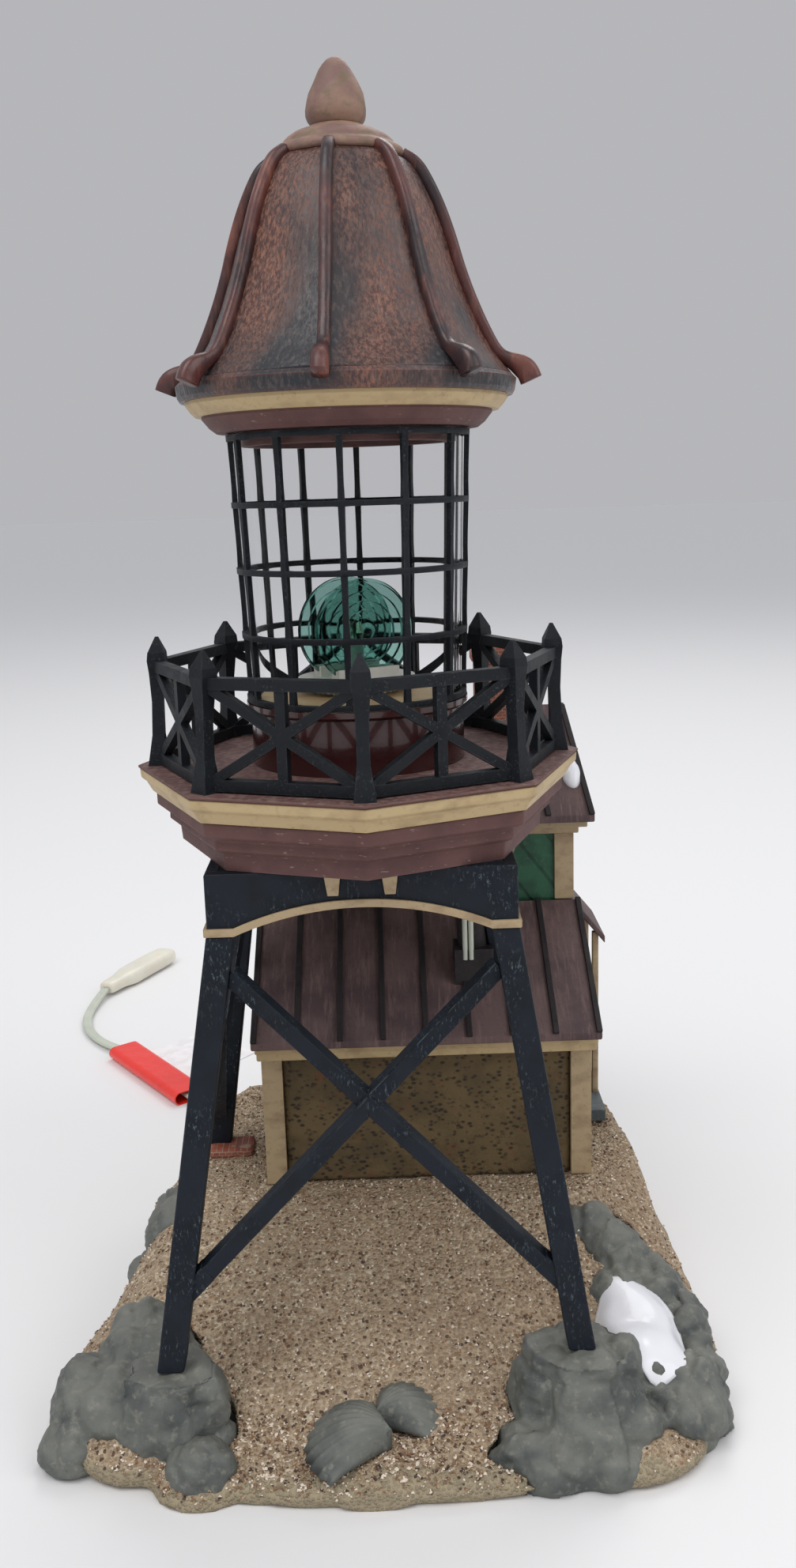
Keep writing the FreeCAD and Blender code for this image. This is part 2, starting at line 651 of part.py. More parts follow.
def apron_board(length):
    """One apron board facing the front, with its arch cut out of the lower edge."""
    half = length / 2
    low = size("Dims.leg_top")
    top = low + size("Dims.apron_height")
    reach = size("Dims.arch_half")
    rise = size("Dims.arch_rise")
    edges = [Part.makeLine(Vector(-half, 0, low), Vector(-half, 0, top)),
             Part.makeLine(Vector(-half, 0, top), Vector(half, 0, top)),
             Part.makeLine(Vector(half, 0, top), Vector(half, 0, low)),
             Part.makeLine(Vector(half, 0, low), Vector(reach, 0, low)),
             Part.Arc(Vector(reach, 0, low), Vector(0, 0, low + rise), Vector(-reach, 0, low)).toShape(),
             Part.makeLine(Vector(-reach, 0, low), Vector(-half, 0, low))]
    board = Part.Face(Part.Wire(edges)).extrude(Vector(0, size("Dims.board_thick"), 0))
    board.translate(Vector(0, -size("Dims.apron_half"), 0))
    return board


def arch_trim():
    """The tan moulding along an arch, with its flared ends under the board."""
    low = size("Dims.leg_top")
    reach, rise = size("Dims.arch_half"), size("Dims.arch_rise")
    thick, proud = size("Dims.trim_thick"), size("Dims.trim_proud")
    end = size("Dims.apron_half") + 0.6
    edges = [Part.Arc(Vector(-reach, 0, low), Vector(0, 0, low + rise), Vector(reach, 0, low)).toShape(),
             Part.makeLine(Vector(reach, 0, low), Vector(end, 0, low)),
             Part.makeLine(Vector(end, 0, low), Vector(end, 0, low + thick)),
             Part.makeLine(Vector(end, 0, low + thick), Vector(reach, 0, low + thick)),
             Part.Arc(Vector(reach, 0, low + thick), Vector(0, 0, low + rise + thick),
                      Vector(-reach, 0, low + thick)).toShape(),
             Part.makeLine(Vector(-reach, 0, low + thick), Vector(-end, 0, low + thick)),
             Part.makeLine(Vector(-end, 0, low + thick), Vector(-end, 0, low)),
             Part.makeLine(Vector(-end, 0, low), Vector(-reach, 0, low))]
    trim = Part.Face(Part.Wire(edges)).extrude(Vector(0, proud, 0))
    trim.translate(Vector(0, -size("Dims.apron_half") - proud, 0))
    return trim


wide = 2 * size("Dims.apron_half")
narrow = wide - 2 * size("Dims.board_thick")
whole("apron_front", apron_board(wide))
whole("apron_back", about_axis(apron_board(wide), 180))
whole("apron_sides", group([about_axis(apron_board(narrow), 90), about_axis(apron_board(narrow), -90)]))
trims = [about_axis(arch_trim(), 90 * index) for index in range(4)]
for index in (1, 3):
    trims[index] = trims[index].cut(group([trims[0], trims[2]]))
whole("arch_trims", group(trims))


# ---------------------------------------------------------------- gallery

turn = size("Dims.gallery_turn")
floor_level = size("Dims.gallery_floor")
apron_top = size("Dims.leg_top + Dims.apron_height")
corner = size("Dims.gallery_radius")
moulding = size("Dims.moulding_radius")
edge_foot = floor_level - size("Dims.gallery_edge")
cream_foot = edge_foot - size("Dims.cream_height")
step = (cream_foot - apron_top) / 3
whole("gallery_floor", skin([(corner - 0.5, edge_foot), (corner, edge_foot + 0.3), (corner, floor_level)], 8, turn))
whole("gallery_cream_band", skin([(moulding + 0.8, cream_foot), (corner - 1.8, edge_foot - 3.2),
                                  (corner - 0.6, edge_foot - 2.4), (corner - 0.4, edge_foot)], 8, turn))
whole("gallery_moulding", skin([(moulding - 6.0, apron_top), (moulding - 5.6, apron_top + step),
                                (moulding - 3.0, apron_top + 1.3 * step),
                                (moulding - 3.2, apron_top + 1.9 * step),
                                (moulding, apron_top + 2.2 * step), (moulding, cream_foot)], 8, turn))

corbels = []
for quarter in range(4):
    for place in (-6.8, 6.8):
        face = -size("Dims.apron_half")
        piece = Part.makeLoft([Part.makePolygon([Vector(place - 1.3, face, 139.6), Vector(place + 1.3, face, 139.6),
                                                 Vector(place + 1.3, face - 1.4, 139.6),
                                                 Vector(place - 1.3, face - 1.4, 139.6),
                                                 Vector(place - 1.3, face, 139.6)]),
                               Part.makePolygon([Vector(place - 2.0, face, apron_top),
                                                 Vector(place + 2.0, face, apron_top),
                                                 Vector(place + 2.0, face - 3.4, apron_top),
                                                 Vector(place - 2.0, face - 3.4, apron_top),
                                                 Vector(place - 2.0, face, apron_top)])], True, True)
        corbels.append(about_axis(piece, 90 * quarter))
whole("corbels", group(corbels))


def rail_post():
    """A waisted railing post with a flared foot and a pointed cap, at the front corner."""
    half = size("Dims.post_width") / 2
    tall = size("Dims.post_height")
    profile = [(1.05, 0.0), (0.62, 0.24), (0.58, 0.5), (0.78, 0.72), (0.95, 0.82), (0.88, 0.88), (0.16, 1.0)]
    rings = []
    for share, height in profile:
        lean = -0.04 * tall * height
        y = -size("Dims.post_radius") - 1.0 - lean
        reach = half * share
        corners = [Vector(across * reach, y + deep * reach, floor_level + tall * height)
                   for across, deep in ((-1, -1), (1, -1), (1, 1), (-1, 1))]
        rings.append(Part.makePolygon(corners + [corners[0]]))
    return Part.makeLoft(rings, True, True)


def rail_bay(posts):
    """One bay of railing: upper and lower rails, a crossed brace and a centre bar."""
    radius = size("Dims.post_radius")
    thick = size("Dims.rail_thick")
    top = floor_level + size("Dims.rail_height") - thick / 2
    low = floor_level + thick / 2 + 0.4
    ends = []
    for angle in (-90, -45):
        ends.append((radius * math.cos(math.radians(angle)), radius * math.sin(math.radians(angle))))
    middle_angle = math.radians(-67.5)
    outward = Vector(math.cos(middle_angle), math.sin(middle_angle), 0)
    left_low, right_low = Vector(ends[0][0], ends[0][1], low), Vector(ends[1][0], ends[1][1], low)
    left_top, right_top = Vector(ends[0][0], ends[0][1], top), Vector(ends[1][0], ends[1][1], top)
    centre_low = (left_low + right_low) * 0.5
    centre_top = (left_top + right_top) * 0.5
    pieces = [bar(left_low, right_low, thick, thick, outward), bar(left_top, right_top, thick, thick, outward),
              bar(left_low, right_top, thick * 0.85, thick * 0.8, outward),
              bar(left_top, right_low, thick * 0.85, thick * 0.8, outward),
              bar(centre_low, centre_top, thick * 0.9, thick * 0.8, outward)]
    bay = pieces[0].fuse(pieces[1:])
    return bay.cut(posts)


first_post = rail_post()
next_post = about_axis(first_post, 45)
first_bay = rail_bay(group([first_post, next_post]))
whole("rail_bays", group([about_axis(first_bay, turn + 45 * index) for index in range(8)]))
whole("rail_posts", group([about_axis(first_post, turn + 45 * index) for index in range(8)]))


# ---------------------------------------------------------------- lantern

turned("drum",
       [("0", "Dims.gallery_floor"), ("Dims.drum_radius", "Dims.gallery_floor"),
        ("Dims.drum_radius", "Dims.gallery_floor + Dims.drum_height - 2.2"),
        ("Dims.cage_foot_radius", "Dims.gallery_floor + Dims.drum_height - 1.4"),
        ("Dims.cage_foot_radius", "Dims.gallery_floor + Dims.drum_height"),
        ("Dims.drum_radius - 4", "Dims.gallery_floor + Dims.drum_height"),
        ("Dims.drum_radius - 4", "Dims.gallery_floor + 3"),
        ("0", "Dims.gallery_floor + 3")])

lantern_foot = floor_level + size("Dims.drum_height")
lantern_top = lantern_foot + size("Dims.cage_height")


def lantern_cone(inset, low, high):
    """A solid cone frustum that follows the lantern's slight taper, set in from its face."""
    foot, top = size("Dims.cage_foot_radius"), size("Dims.cage_top_radius")
    height = size("Dims.cage_height")
    slope = (top - foot) / height
    return Part.makeCone(foot + slope * (low - lantern_foot) - inset,
                         foot + slope * (high - lantern_foot) - inset, high - low, Vector(0, 0, low))


def make_cage():
    """Upright bars and hoops round the lantern, one casting."""
    thick = size("Dims.cage_bar")
    height = size("Dims.cage_height")
    bars = []
    for share in (0.0, 0.25, 0.5, 0.75, 1.0):
        level = lantern_foot + (height - thick) * share
        bars.append(lantern_cone(0, level, level + thick))
    count = int(size("Dims.cage_bars"))
    reach = size("Dims.cage_top_radius") + 1
    for index in range(count):
        upright = Part.makeBox(thick, reach, height, Vector(-thick / 2, -reach, lantern_foot))
        upright = upright.common(lantern_cone(0.15, lantern_foot, lantern_top))
        bars.append(about_axis(upright, turn - 5.0 + 360.0 * index / count))
    cage = bars[0].fuse(bars[1:])
    return cage.cut(lantern_cone(thick, lantern_foot, lantern_top))


whole("lantern_cage", make_cage())
LANTERN_FOOT = "Dims.gallery_floor + Dims.drum_height"
LANTERN_TOP = "Dims.gallery_floor + Dims.drum_height + Dims.cage_height"
FOOT_GLASS = "Dims.cage_foot_radius - Dims.cage_bar"
TOP_GLASS = "Dims.cage_top_radius - Dims.cage_bar"
turned("lantern_glass",
       [(FOOT_GLASS + " - Dims.glass_wall", LANTERN_FOOT), (FOOT_GLASS, LANTERN_FOOT),
        (TOP_GLASS, LANTERN_TOP), (TOP_GLASS + " - Dims.glass_wall", LANTERN_TOP)])
FLOOR_OUT = FOOT_GLASS + " - Dims.glass_wall - 0.1"
FLOOR_DISC_TOP = LANTERN_FOOT + " + 1.2"
SPINDLE_SEAT = 4.0


# ---------------------------------------------------------------- lens and its drive

TABLE_FOOT = FLOOR_DISC_TOP + " + Dims.gear_face + 0.5"
TABLE_TOP = "(%s) + Dims.table_thick" % TABLE_FOOT
table_foot = size(TABLE_FOOT)
table_top = size(TABLE_TOP)
gear_foot = table_foot - size("Dims.gear_face")


def spur_gear(teeth, face, level, bore):
    """A plain toothed wheel with straight-sided teeth about the Z axis."""
    module = size("Dims.gear_module")
    pitch = module * teeth / 2
    tip, root = pitch + 0.85 * module, pitch - 1.1 * module
    points = []
    for index in range(teeth):
        middle = 2 * math.pi * index / teeth
        for radius, share in ((root, -0.36), (tip, -0.13), (tip, 0.13), (root, 0.36)):
            angle = middle + share * 2 * math.pi / teeth
            points.append(Vector(radius * math.cos(angle), radius * math.sin(angle), level))
    wheel = Part.Face(Part.makePolygon(points + [points[0]])).extrude(Vector(0, 0, face))
    return wheel.cut(Part.makeCylinder(bore, face, Vector(0, 0, level)))


spindle = size("Dims.spindle_radius")
running = size("Dims.running_gap")
SPINDLE_TOP = "(%s) + 9" % TABLE_TOP
turned("spindle",
       [("Dims.spindle_radius - 0.7", "Dims.gallery_floor + 3"), ("Dims.spindle_radius + 1.6", "Dims.gallery_floor + 3"),
        ("Dims.spindle_radius + 1.6", LANTERN_FOOT + " - 1"), ("4 - Dims.running_gap", LANTERN_FOOT + " - 1"),
        ("4 - Dims.running_gap", "(%s) - Dims.gear_face - 0.3" % TABLE_FOOT),
        ("Dims.spindle_radius", "(%s) - Dims.gear_face - 0.3" % TABLE_FOOT),
        ("Dims.spindle_radius", SPINDLE_TOP), ("0", SPINDLE_TOP), ("0", "(%s) - 3" % SPINDLE_TOP),
        ("Dims.spindle_radius - 0.7", "(%s) - 3" % SPINDLE_TOP)])
ring_gear = spur_gear(int(size("Dims.ring_teeth")), size("Dims.gear_face"), gear_foot, spindle + running)
disc = Part.makeCylinder(size("Dims.table_radius"), size("Dims.table_thick"), Vector(0, 0, table_foot))
disc = disc.cut(Part.makeCylinder(spindle + running, 40, Vector(0, 0, table_foot - 1)))
whole("turntable", disc.fuse(ring_gear))

centres = size("Dims.gear_module") * (size("Dims.ring_teeth") + size("Dims.pinion_teeth")) / 2 + 0.08
pinion = spur_gear(int(size("Dims.pinion_teeth")), size("Dims.gear_face") - 0.4, gear_foot + 0.2, 0.5)
pinion.rotate(Vector(0, 0, 0), Vector(0, 0, 1), 180.0 / size("Dims.pinion_teeth"))
shaft = Part.makeCylinder(0.5, gear_foot + size("Dims.gear_face") - 0.2 - (floor_level + 9),
                          Vector(0, 0, floor_level + 9))
pinion = pinion.fuse(shaft)
pinion.translate(Vector(centres, 0, 0))
whole("motor_pinion", about_axis(pinion, 90))
floor_plate = Part.makeCylinder(size(FLOOR_OUT), 1.2, Vector(0, 0, size(LANTERN_FOOT)))
holes = [Part.makeCylinder(SPINDLE_SEAT, 2, Vector(0, 0, size(LANTERN_FOOT))),
         Part.makeCylinder(0.9, 2, Vector(0, centres, size(LANTERN_FOOT)))]
whole("lantern_floor", floor_plate.cut(holes))
motor = Part.makeCylinder(6.0, 9.0, Vector(centres, 0, floor_level + 3)).fuse(
    Part.makeCylinder(2.0, 1.4, Vector(centres, 0, floor_level + 12)))
motor = motor.cut(Part.makeCylinder(0.5 + running, 12, Vector(centres, 0, floor_level + 8)))
whole("motor", about_axis(motor, 90))


def lens_panel(facing):
    """A pressed lens: a domed centre inside stepped rings on a clear disc."""
    radius = size("Dims.lens_radius")
    outline = [(0, 0), (radius, 0), (radius, 1.2)]
    rings = 4
    for index in range(rings):
        outer = radius - 0.8 - 2.4 * index
        outline += [(outer, 1.2), (outer, 2.4), (outer - 2.2, 1.2)]
    outline += [(3.4, 1.2), (2.4, 2.3), (0, 2.9)]
    points = [Vector(across, 0, deep) for across, deep in outline]
    panel = Part.Face(Part.makePolygon(points + [points[0]])).revolve(Vector(0, 0, 0), Vector(0, 0, 1), 360)
    panel.rotate(Vector(0, 0, 0), Vector(1, 0, 0), 90 if facing < 0 else -90)
    return panel


lens_level = size("Dims.lens_centre")
lens_turn = size("Dims.lens_turn")
above_turntable = Part.makeBox(80, 80, 60, Vector(-40, -40, table_top))
holders = []
panels = []
for facing in (-1, 1):
    panel = lens_panel(facing)
    panel.translate(Vector(0, facing * size("Dims.lens_spacing") / 2, lens_level))
    panel = panel.common(above_turntable)
    centre_y = facing * (size("Dims.lens_spacing") / 2 + 0.9)
    holder = Part.makeBox(17, 4.4, 2.6, Vector(-8.5, centre_y - 2.2, table_top))
    holders.append(about_axis(holder.cut(panel), lens_turn))
    panels.append(about_axis(panel, lens_turn))
whole("lens_panels", group(panels))
whole("lens_holders", group(holders))

turned("lamp",
       [("0", SPINDLE_TOP), ("Dims.spindle_radius - 0.1", SPINDLE_TOP),
        ("Dims.spindle_radius + 0.2", SPINDLE_TOP + " + 2"), ("Dims.spindle_radius - 0.2", SPINDLE_TOP + " + 4.4"),
        ("0", SPINDLE_TOP + " + 5.6")])


# ---------------------------------------------------------------- roof

roof_angle = size("Dims.roof_turn")
SOFFIT_FOOT = LANTERN_TOP + " + Dims.fit_gap"
turned("soffit_ring",
       [("Dims.cage_top_radius - Dims.cage_bar - Dims.glass_wall - 3.4", LANTERN_TOP + " - 3"),
        ("Dims.cage_top_radius - Dims.cage_bar - Dims.glass_wall - Dims.fit_gap", LANTERN_TOP + " - 3"),
        ("Dims.cage_top_radius - Dims.cage_bar - Dims.glass_wall - Dims.fit_gap", SOFFIT_FOOT),
        ("Dims.soffit_radius - 3.4", SOFFIT_FOOT), ("Dims.soffit_radius - 1.8", SOFFIT_FOOT + " + 1.2"),
        ("Dims.soffit_radius", SOFFIT_FOOT + " + 3.4"), ("Dims.soffit_radius", SOFFIT_FOOT + " + 4.0"),
        ("Dims.cage_top_radius - Dims.cage_bar - Dims.glass_wall - 3.4", SOFFIT_FOOT + " + 4.0")])
CORNICE_FOOT = SOFFIT_FOOT + " + 4.0"
turned("cornice",
       [("Dims.soffit_radius - 8", CORNICE_FOOT), ("Dims.cornice_radius - 2.2", CORNICE_FOOT),
        ("Dims.cornice_radius - 1.2", CORNICE_FOOT + " + 1.0"), ("Dims.cornice_radius", CORNICE_FOOT + " + 2.6"),
        ("Dims.cornice_radius", CORNICE_FOOT + " + 3.4"), ("Dims.soffit_radius - 8", CORNICE_FOOT + " + 3.4")])
DRIP_FOOT = CORNICE_FOOT + " + 3.4"
turned("drip_band",
       [("Dims.soffit_radius - 8", DRIP_FOOT), ("Dims.drip_radius - 0.6", DRIP_FOOT),
        ("Dims.drip_radius", DRIP_FOOT + " + 1.0"), ("Dims.drip_radius + 0.4", DRIP_FOOT + " + 3.6"),
        ("Dims.drip_radius - 0.6", DRIP_FOOT + " + 4.6"), ("Dims.soffit_radius - 8", DRIP_FOOT + " + 4.6")])
dome_foot = size(DRIP_FOOT) + 4.6
dome_tall = size("Dims.dome_height")


def dome_radius(share):
    """Corner radius of the bell at a share of its height."""
    profile = [(0.0, 1.0), (0.07, 0.955), (0.19, 0.86), (0.34, 0.755), (0.50, 0.665), (0.66, 0.59),
               (0.80, 0.515), (0.92, 0.43), (1.0, 0.345)]
    for (low, start), (high, end) in zip(profile, profile[1:]):
        if share <= high:
            return size("Dims.drip_radius") * (start + (end - start) * (share - low) / (high - low))
    return size("Dims.drip_radius") * profile[-1][1]


DOME_STEPS = (0.0, 0.07, 0.19, 0.34, 0.50, 0.66, 0.80, 0.92, 1.0)
dome = skin([(dome_radius(share), dome_foot + dome_tall * share) for share in DOME_STEPS], 8, roof_angle, True)
hollow = skin([(dome_radius(share) - 4.5, dome_foot - 0.01 + (dome_tall - 5) * share) for share in DOME_STEPS],
              8, roof_angle, True)
dome = dome.cut(hollow)


def roof_rib():
    """A raised rib on a corner of the dome, ending in an upturned toe beyond the eave."""
    width, proud = size("Dims.rib_width"), size("Dims.rib_proud")
    outer = [Vector(0, -(dome_radius(share) + proud), dome_foot + dome_tall * share) for share in DOME_STEPS]
    toe = size("Dims.drip_radius") + 4.2
    outer[0] = Vector(0, -toe, dome_foot - 1.6)
    outer[1] = Vector(0, -toe + 1.0, dome_foot + 2.4)
    inner = [Vector(0, -(dome_radius(share) - 2.5), dome_foot + dome_tall * share) for share in DOME_STEPS]
    inner[0] = Vector(0, -(size("Dims.drip_radius") - 2.0), dome_foot - 1.6)
    front = Part.BSplineCurve()
    front.interpolate(outer)
    edges = [front.toShape(), Part.makeLine(outer[-1], inner[-1])]
    edges += [Part.makeLine(start, end) for start, end in zip(reversed(inner[1:]), list(reversed(inner))[1:])]
    edges.append(Part.makeLine(inner[0], outer[0]))
    rib = Part.Face(Part.Wire(edges)).extrude(Vector(width, 0, 0))
    rib.translate(Vector(-width / 2, 0, 0))
    return rib


plain_dome = about_axis(dome, -roof_angle)
rib = roof_rib().cut(plain_dome)
rib = max(rib.Solids, key=lambda solid: solid.Volume)
drip = doc.getObject("drip_band")
doc.recompute()
rib = rib.cut(drip.Shape)
rib = max(rib.Solids, key=lambda solid: solid.Volume)
ribs = [about_axis(rib, roof_angle + 45 * index) for index in range(8)]
whole("roof_dome", dome)
whole("roof_ribs", group(ribs))
DOME_TOP = DRIP_FOOT + " + 4.6 + Dims.dome_height"
turned("roof_cap",
       [("0", DOME_TOP), ("Dims.cap_radius", DOME_TOP), ("Dims.cap_radius - 0.8", DOME_TOP + " + 1.6"),
        ("Dims.cap_radius - 2.8", DOME_TOP + " + 2.6"), ("Dims.cap_radius - 3.6", DOME_TOP + " + 4.2"),
        ("Dims.cap_radius - 6.2", DOME_TOP + " + 5.6"), ("Dims.cap_radius - 8.2", DOME_TOP + " + 6.6"),
        ("0", DOME_TOP + " + 6.6")])
CAP_TOP = DOME_TOP + " + 6.6"


# The bud: a round belly drawn up to a blunt point, as shares of its radius and of its height.
BUD_PROFILE = [(0.78, 0.0), (0.87, 0.05), (0.95, 0.13), (1.0, 0.24), (0.98, 0.34), (0.90, 0.46), (0.77, 0.58),
               (0.60, 0.70), (0.46, 0.79), (0.34, 0.87), (0.22, 0.95)]
turned("finial",
       [("0", CAP_TOP)]
       + [("Dims.finial_radius * %g" % across, CAP_TOP + " + Dims.finial_height * %g" % up)
          for across, up in BUD_PROFILE]
       + [("0", CAP_TOP + " + Dims.finial_height")])


# ---------------------------------------------------------------- ground, rocks and small pieces

house_foot = group([lower_walls, lower_posts])
sand = ground.cut(group(list(rocks.values()) + [shell_rock]))
sand = max(sand.Solids, key=lambda solid: solid.Volume)
step_stone = Part.makeBox(7.0, 42.0, 4.0, Vector(size("Dims.house_left + Dims.house_width") + 3.0, 58.0,
                                                  size("Dims.sand_top")))
whole("side_step", step_stone)
brick = Part.makeBox(15.0, 12.0, 7.0, Vector(-53.0, 40.5, 19.0))
brick.rotate(Vector(-46, 46, 22), Vector(0, 0, 1), 8)
brick = brick.cut(group([rocks["rocks_rear_left"]]))
whole("brick_block", brick)
sand = sand.cut(brick)
for name, shape in rocks.items():
    whole(name, shape)
whole("ribbed_stone", shell_rock)


# ---------------------------------------------------------------- cord on the table

# The low-voltage lead leaves the base through a grommet at the rear left corner, passes
# through a flattened sleeve, turns back in a wide bend and ends in its connector.
CORD_ROUTE = [(-47.2, 105.7, 3.9), (-52.0, 118.5, 3.2), (-61.0, 131.0, 2.4), (-71.0, 145.0, 2.6),
              (-84.0, 161.5, 2.6), (-95.0, 179.5, 2.6), (-108.0, 195.0, 2.6), (-121.5, 208.0, 2.4),
              (-131.0, 225.0, 2.3), (-134.0, 246.0, 2.4), (-130.0, 267.0, 4.0)]


def cord_tube(route, radius):
    """A tube along straight runs joined by tangent arcs as large as the runs allow."""
    points = [Vector(*place) for place in route]
    edges = []
    start = points[0]
    for before, here, after in zip(points, points[1:], points[2:]):
        back = (before - here).normalize()
        ahead = (after - here).normalize()
        turn_angle = math.pi - back.getAngle(ahead)
        shorter = min((before - here).Length, (after - here).Length)
        reach = 0.45 * shorter
        bend = reach / math.tan(turn_angle / 2)
        print("cord bend radius %.1f mm" % bend)
        first, last = here + back * reach, here + ahead * reach
        middle_way = (back + ahead).normalize()
        middle = here + middle_way * (bend / math.cos(turn_angle / 2) - bend)
        edges.append(Part.makeLine(start, first))
        edges.append(Part.Arc(first, middle, last).toShape())
        start = last
    edges.append(Part.makeLine(start, points[-1]))
    path = Part.Wire(edges)
    section = Part.Wire(Part.makeCircle(radius, points[0], points[1] - points[0]))
    tube = path.makePipeShell([section], True, False)
    print("cord length %.1f mm, volume ratio %.4f" %
          (path.Length, tube.Volume / (math.pi * radius ** 2 * path.Length)))
    return tube


cord_radius = size("Dims.cord_radius")
exit_point = Vector(*CORD_ROUTE[0])
exit_way = (Vector(*CORD_ROUTE[1]) - exit_point).normalize()
flat_way = Vector(exit_way.x, exit_way.y, 0).normalize()
cord = cord_tube(CORD_ROUTE, cord_radius)
grommet = Part.makeCylinder(cord_radius + 1.5, 8.0, exit_point - exit_way * 8.0, exit_way)
grommet = grommet.fuse(Part.makeCylinder(cord_radius + 1.6, 1.6, exit_point - exit_way * 1.6, exit_way))
grommet = above_table(grommet)


def flat_tube(start, end, width, height, foot_level):
    """A flattened straight tube lying on the table, given by its ends."""
    along = (end - start).normalize()
    across = Vector(-along.y, along.x, 0)
    half = (width - height) / 2
    low, high = foot_level, foot_level + height
    middle = (low + high) / 2
    left, right = start - across * half, start + across * half
    edges = [Part.makeLine(Vector(left.x, left.y, low), Vector(right.x, right.y, low)),
             Part.Arc(Vector(right.x, right.y, low),
                      Vector(right.x, right.y, middle) + across * (height / 2),
                      Vector(right.x, right.y, high)).toShape(),
             Part.makeLine(Vector(right.x, right.y, high), Vector(left.x, left.y, high)),
             Part.Arc(Vector(left.x, left.y, high), Vector(left.x, left.y, middle) - across * (height / 2),
                      Vector(left.x, left.y, low)).toShape()]
    return Part.Face(Part.Wire(edges)).extrude(end - start)


sleeve_start, sleeve_end = Vector(-74.0, 148.6, 0), Vector(-108.6, 196.0, 0)
sleeve = flat_tube(sleeve_start, sleeve_end, 14.0, 5.2, 0.0).cut(
    flat_tube(sleeve_start, sleeve_end, 13.2, 4.4, 0.4))
plug_start = Vector(CORD_ROUTE[-1][0], CORD_ROUTE[-1][1], 0)
plug_way = (Vector(-104.5, 320.0, 0) - plug_start).normalize()
connector = flat_tube(plug_start, plug_start + plug_way * 16.0, 9.0, 6.6, 0.6).fuse(
    flat_tube(plug_start + plug_way * 16.0, plug_start + plug_way * 52.0, 11.0, 8.0, 0.0))
connector = connector.cut(cord)
sleeve_way = (sleeve_end - sleeve_start).normalize()
sleeve_side = Vector(sleeve_way.y, -sleeve_way.x, 0)
tag_root = sleeve_start + sleeve_way * 14.0 + sleeve_side * 6.2
tag_points = [tag_root, tag_root + sleeve_way * 40.0, tag_root + sleeve_way * 44.0 + sleeve_side * 30.0,
              tag_root + sleeve_way * 10.0 + sleeve_side * 38.0]
tag = slab([Vector(point.x, point.y, 0.0) for point in tag_points], Vector(0, 0, 0.5)).cut(
    flat_tube(sleeve_start, sleeve_end, 14.0, 5.2, 0.0))
sand = sand.cut(group([grommet, legs["leg_rear_left"]]))
whole("sand_base", sand)
whole("cord_grommet", grommet)
whole("cord", cord)
whole("cord_sleeve", sleeve)
whole("cord_connector", connector)
whole("cord_tag", tag)
wires = []
for place in (28.4, 30.2):
    wires.append(Part.makeCylinder(0.75, apron_top - 97.0, Vector(place, 32.6, 97.0)))
inner_lead = group(wires).cut(group([lead_hood, short_leg]))
whole("inner_lead", under_lean(inner_lead))


# ---------------------------------------------------------------- write out

doc.recompute()
pieces = [item for item in doc.Objects
          if item.TypeId in ("PartDesign::Body", "Part::Feature", "Part::Box")]
for item in doc.Objects:
    if "Invalid" in item.State or "Error" in item.State:
        raise RuntimeError("%s failed: %s" % (item.Label, item.State))
for item in pieces:
    if item.Shape.isNull() or not item.Shape.isValid():
        raise RuntimeError("%s has no valid shape" % item.Label)
facets = 0
for item in pieces:
    if item.Shape.BoundBox.ZMin < -0.001:
        print("below the table:", item.Label, item.Shape.BoundBox.ZMin)
    item.Shape.exportStep("parts/%s.step" % item.Label)
    count = len(item.Shape.tessellate(0.3)[1])
    facets += count
    print("%-22s solids %3d  volume %9.1f  facets %5d" % (item.Label, len(item.Shape.Solids), item.Shape.Volume, count))
print("%d pieces, %d facets" % (len(pieces), facets))
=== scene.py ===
import json
import math
import random

import bmesh
import bpy
from mathutils import Matrix, Vector, noise
from mathutils.bvhtree import BVHTree

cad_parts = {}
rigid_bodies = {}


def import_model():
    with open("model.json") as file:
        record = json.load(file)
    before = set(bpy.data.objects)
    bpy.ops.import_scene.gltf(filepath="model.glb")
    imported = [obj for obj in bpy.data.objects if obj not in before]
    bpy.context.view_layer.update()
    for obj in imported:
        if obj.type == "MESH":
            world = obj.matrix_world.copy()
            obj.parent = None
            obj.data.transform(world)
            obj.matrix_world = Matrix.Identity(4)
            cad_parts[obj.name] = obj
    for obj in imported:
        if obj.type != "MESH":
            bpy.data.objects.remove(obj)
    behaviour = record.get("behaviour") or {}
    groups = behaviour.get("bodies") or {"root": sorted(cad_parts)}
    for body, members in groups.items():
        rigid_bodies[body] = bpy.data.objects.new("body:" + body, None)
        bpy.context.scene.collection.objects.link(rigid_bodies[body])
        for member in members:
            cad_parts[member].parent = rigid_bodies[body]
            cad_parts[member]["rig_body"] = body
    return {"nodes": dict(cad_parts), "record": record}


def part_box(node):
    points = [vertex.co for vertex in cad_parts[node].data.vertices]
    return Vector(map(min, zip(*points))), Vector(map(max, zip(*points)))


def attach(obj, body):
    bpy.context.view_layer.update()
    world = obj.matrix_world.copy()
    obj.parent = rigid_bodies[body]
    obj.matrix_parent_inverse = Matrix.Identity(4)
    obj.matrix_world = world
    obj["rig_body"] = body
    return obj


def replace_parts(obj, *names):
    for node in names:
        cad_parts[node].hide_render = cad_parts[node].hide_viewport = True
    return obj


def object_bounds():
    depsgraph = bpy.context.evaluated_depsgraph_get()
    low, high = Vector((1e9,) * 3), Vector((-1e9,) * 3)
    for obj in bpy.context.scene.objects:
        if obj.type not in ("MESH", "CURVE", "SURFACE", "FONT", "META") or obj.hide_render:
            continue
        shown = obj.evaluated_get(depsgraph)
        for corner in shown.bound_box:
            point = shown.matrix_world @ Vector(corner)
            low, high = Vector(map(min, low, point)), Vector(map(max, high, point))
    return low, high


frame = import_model()
cad_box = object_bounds()
nodes = frame["nodes"]
slots = {entry["node"]: entry["material_slot"] for entry in frame["record"]["subparts"]}
MM = 0.001
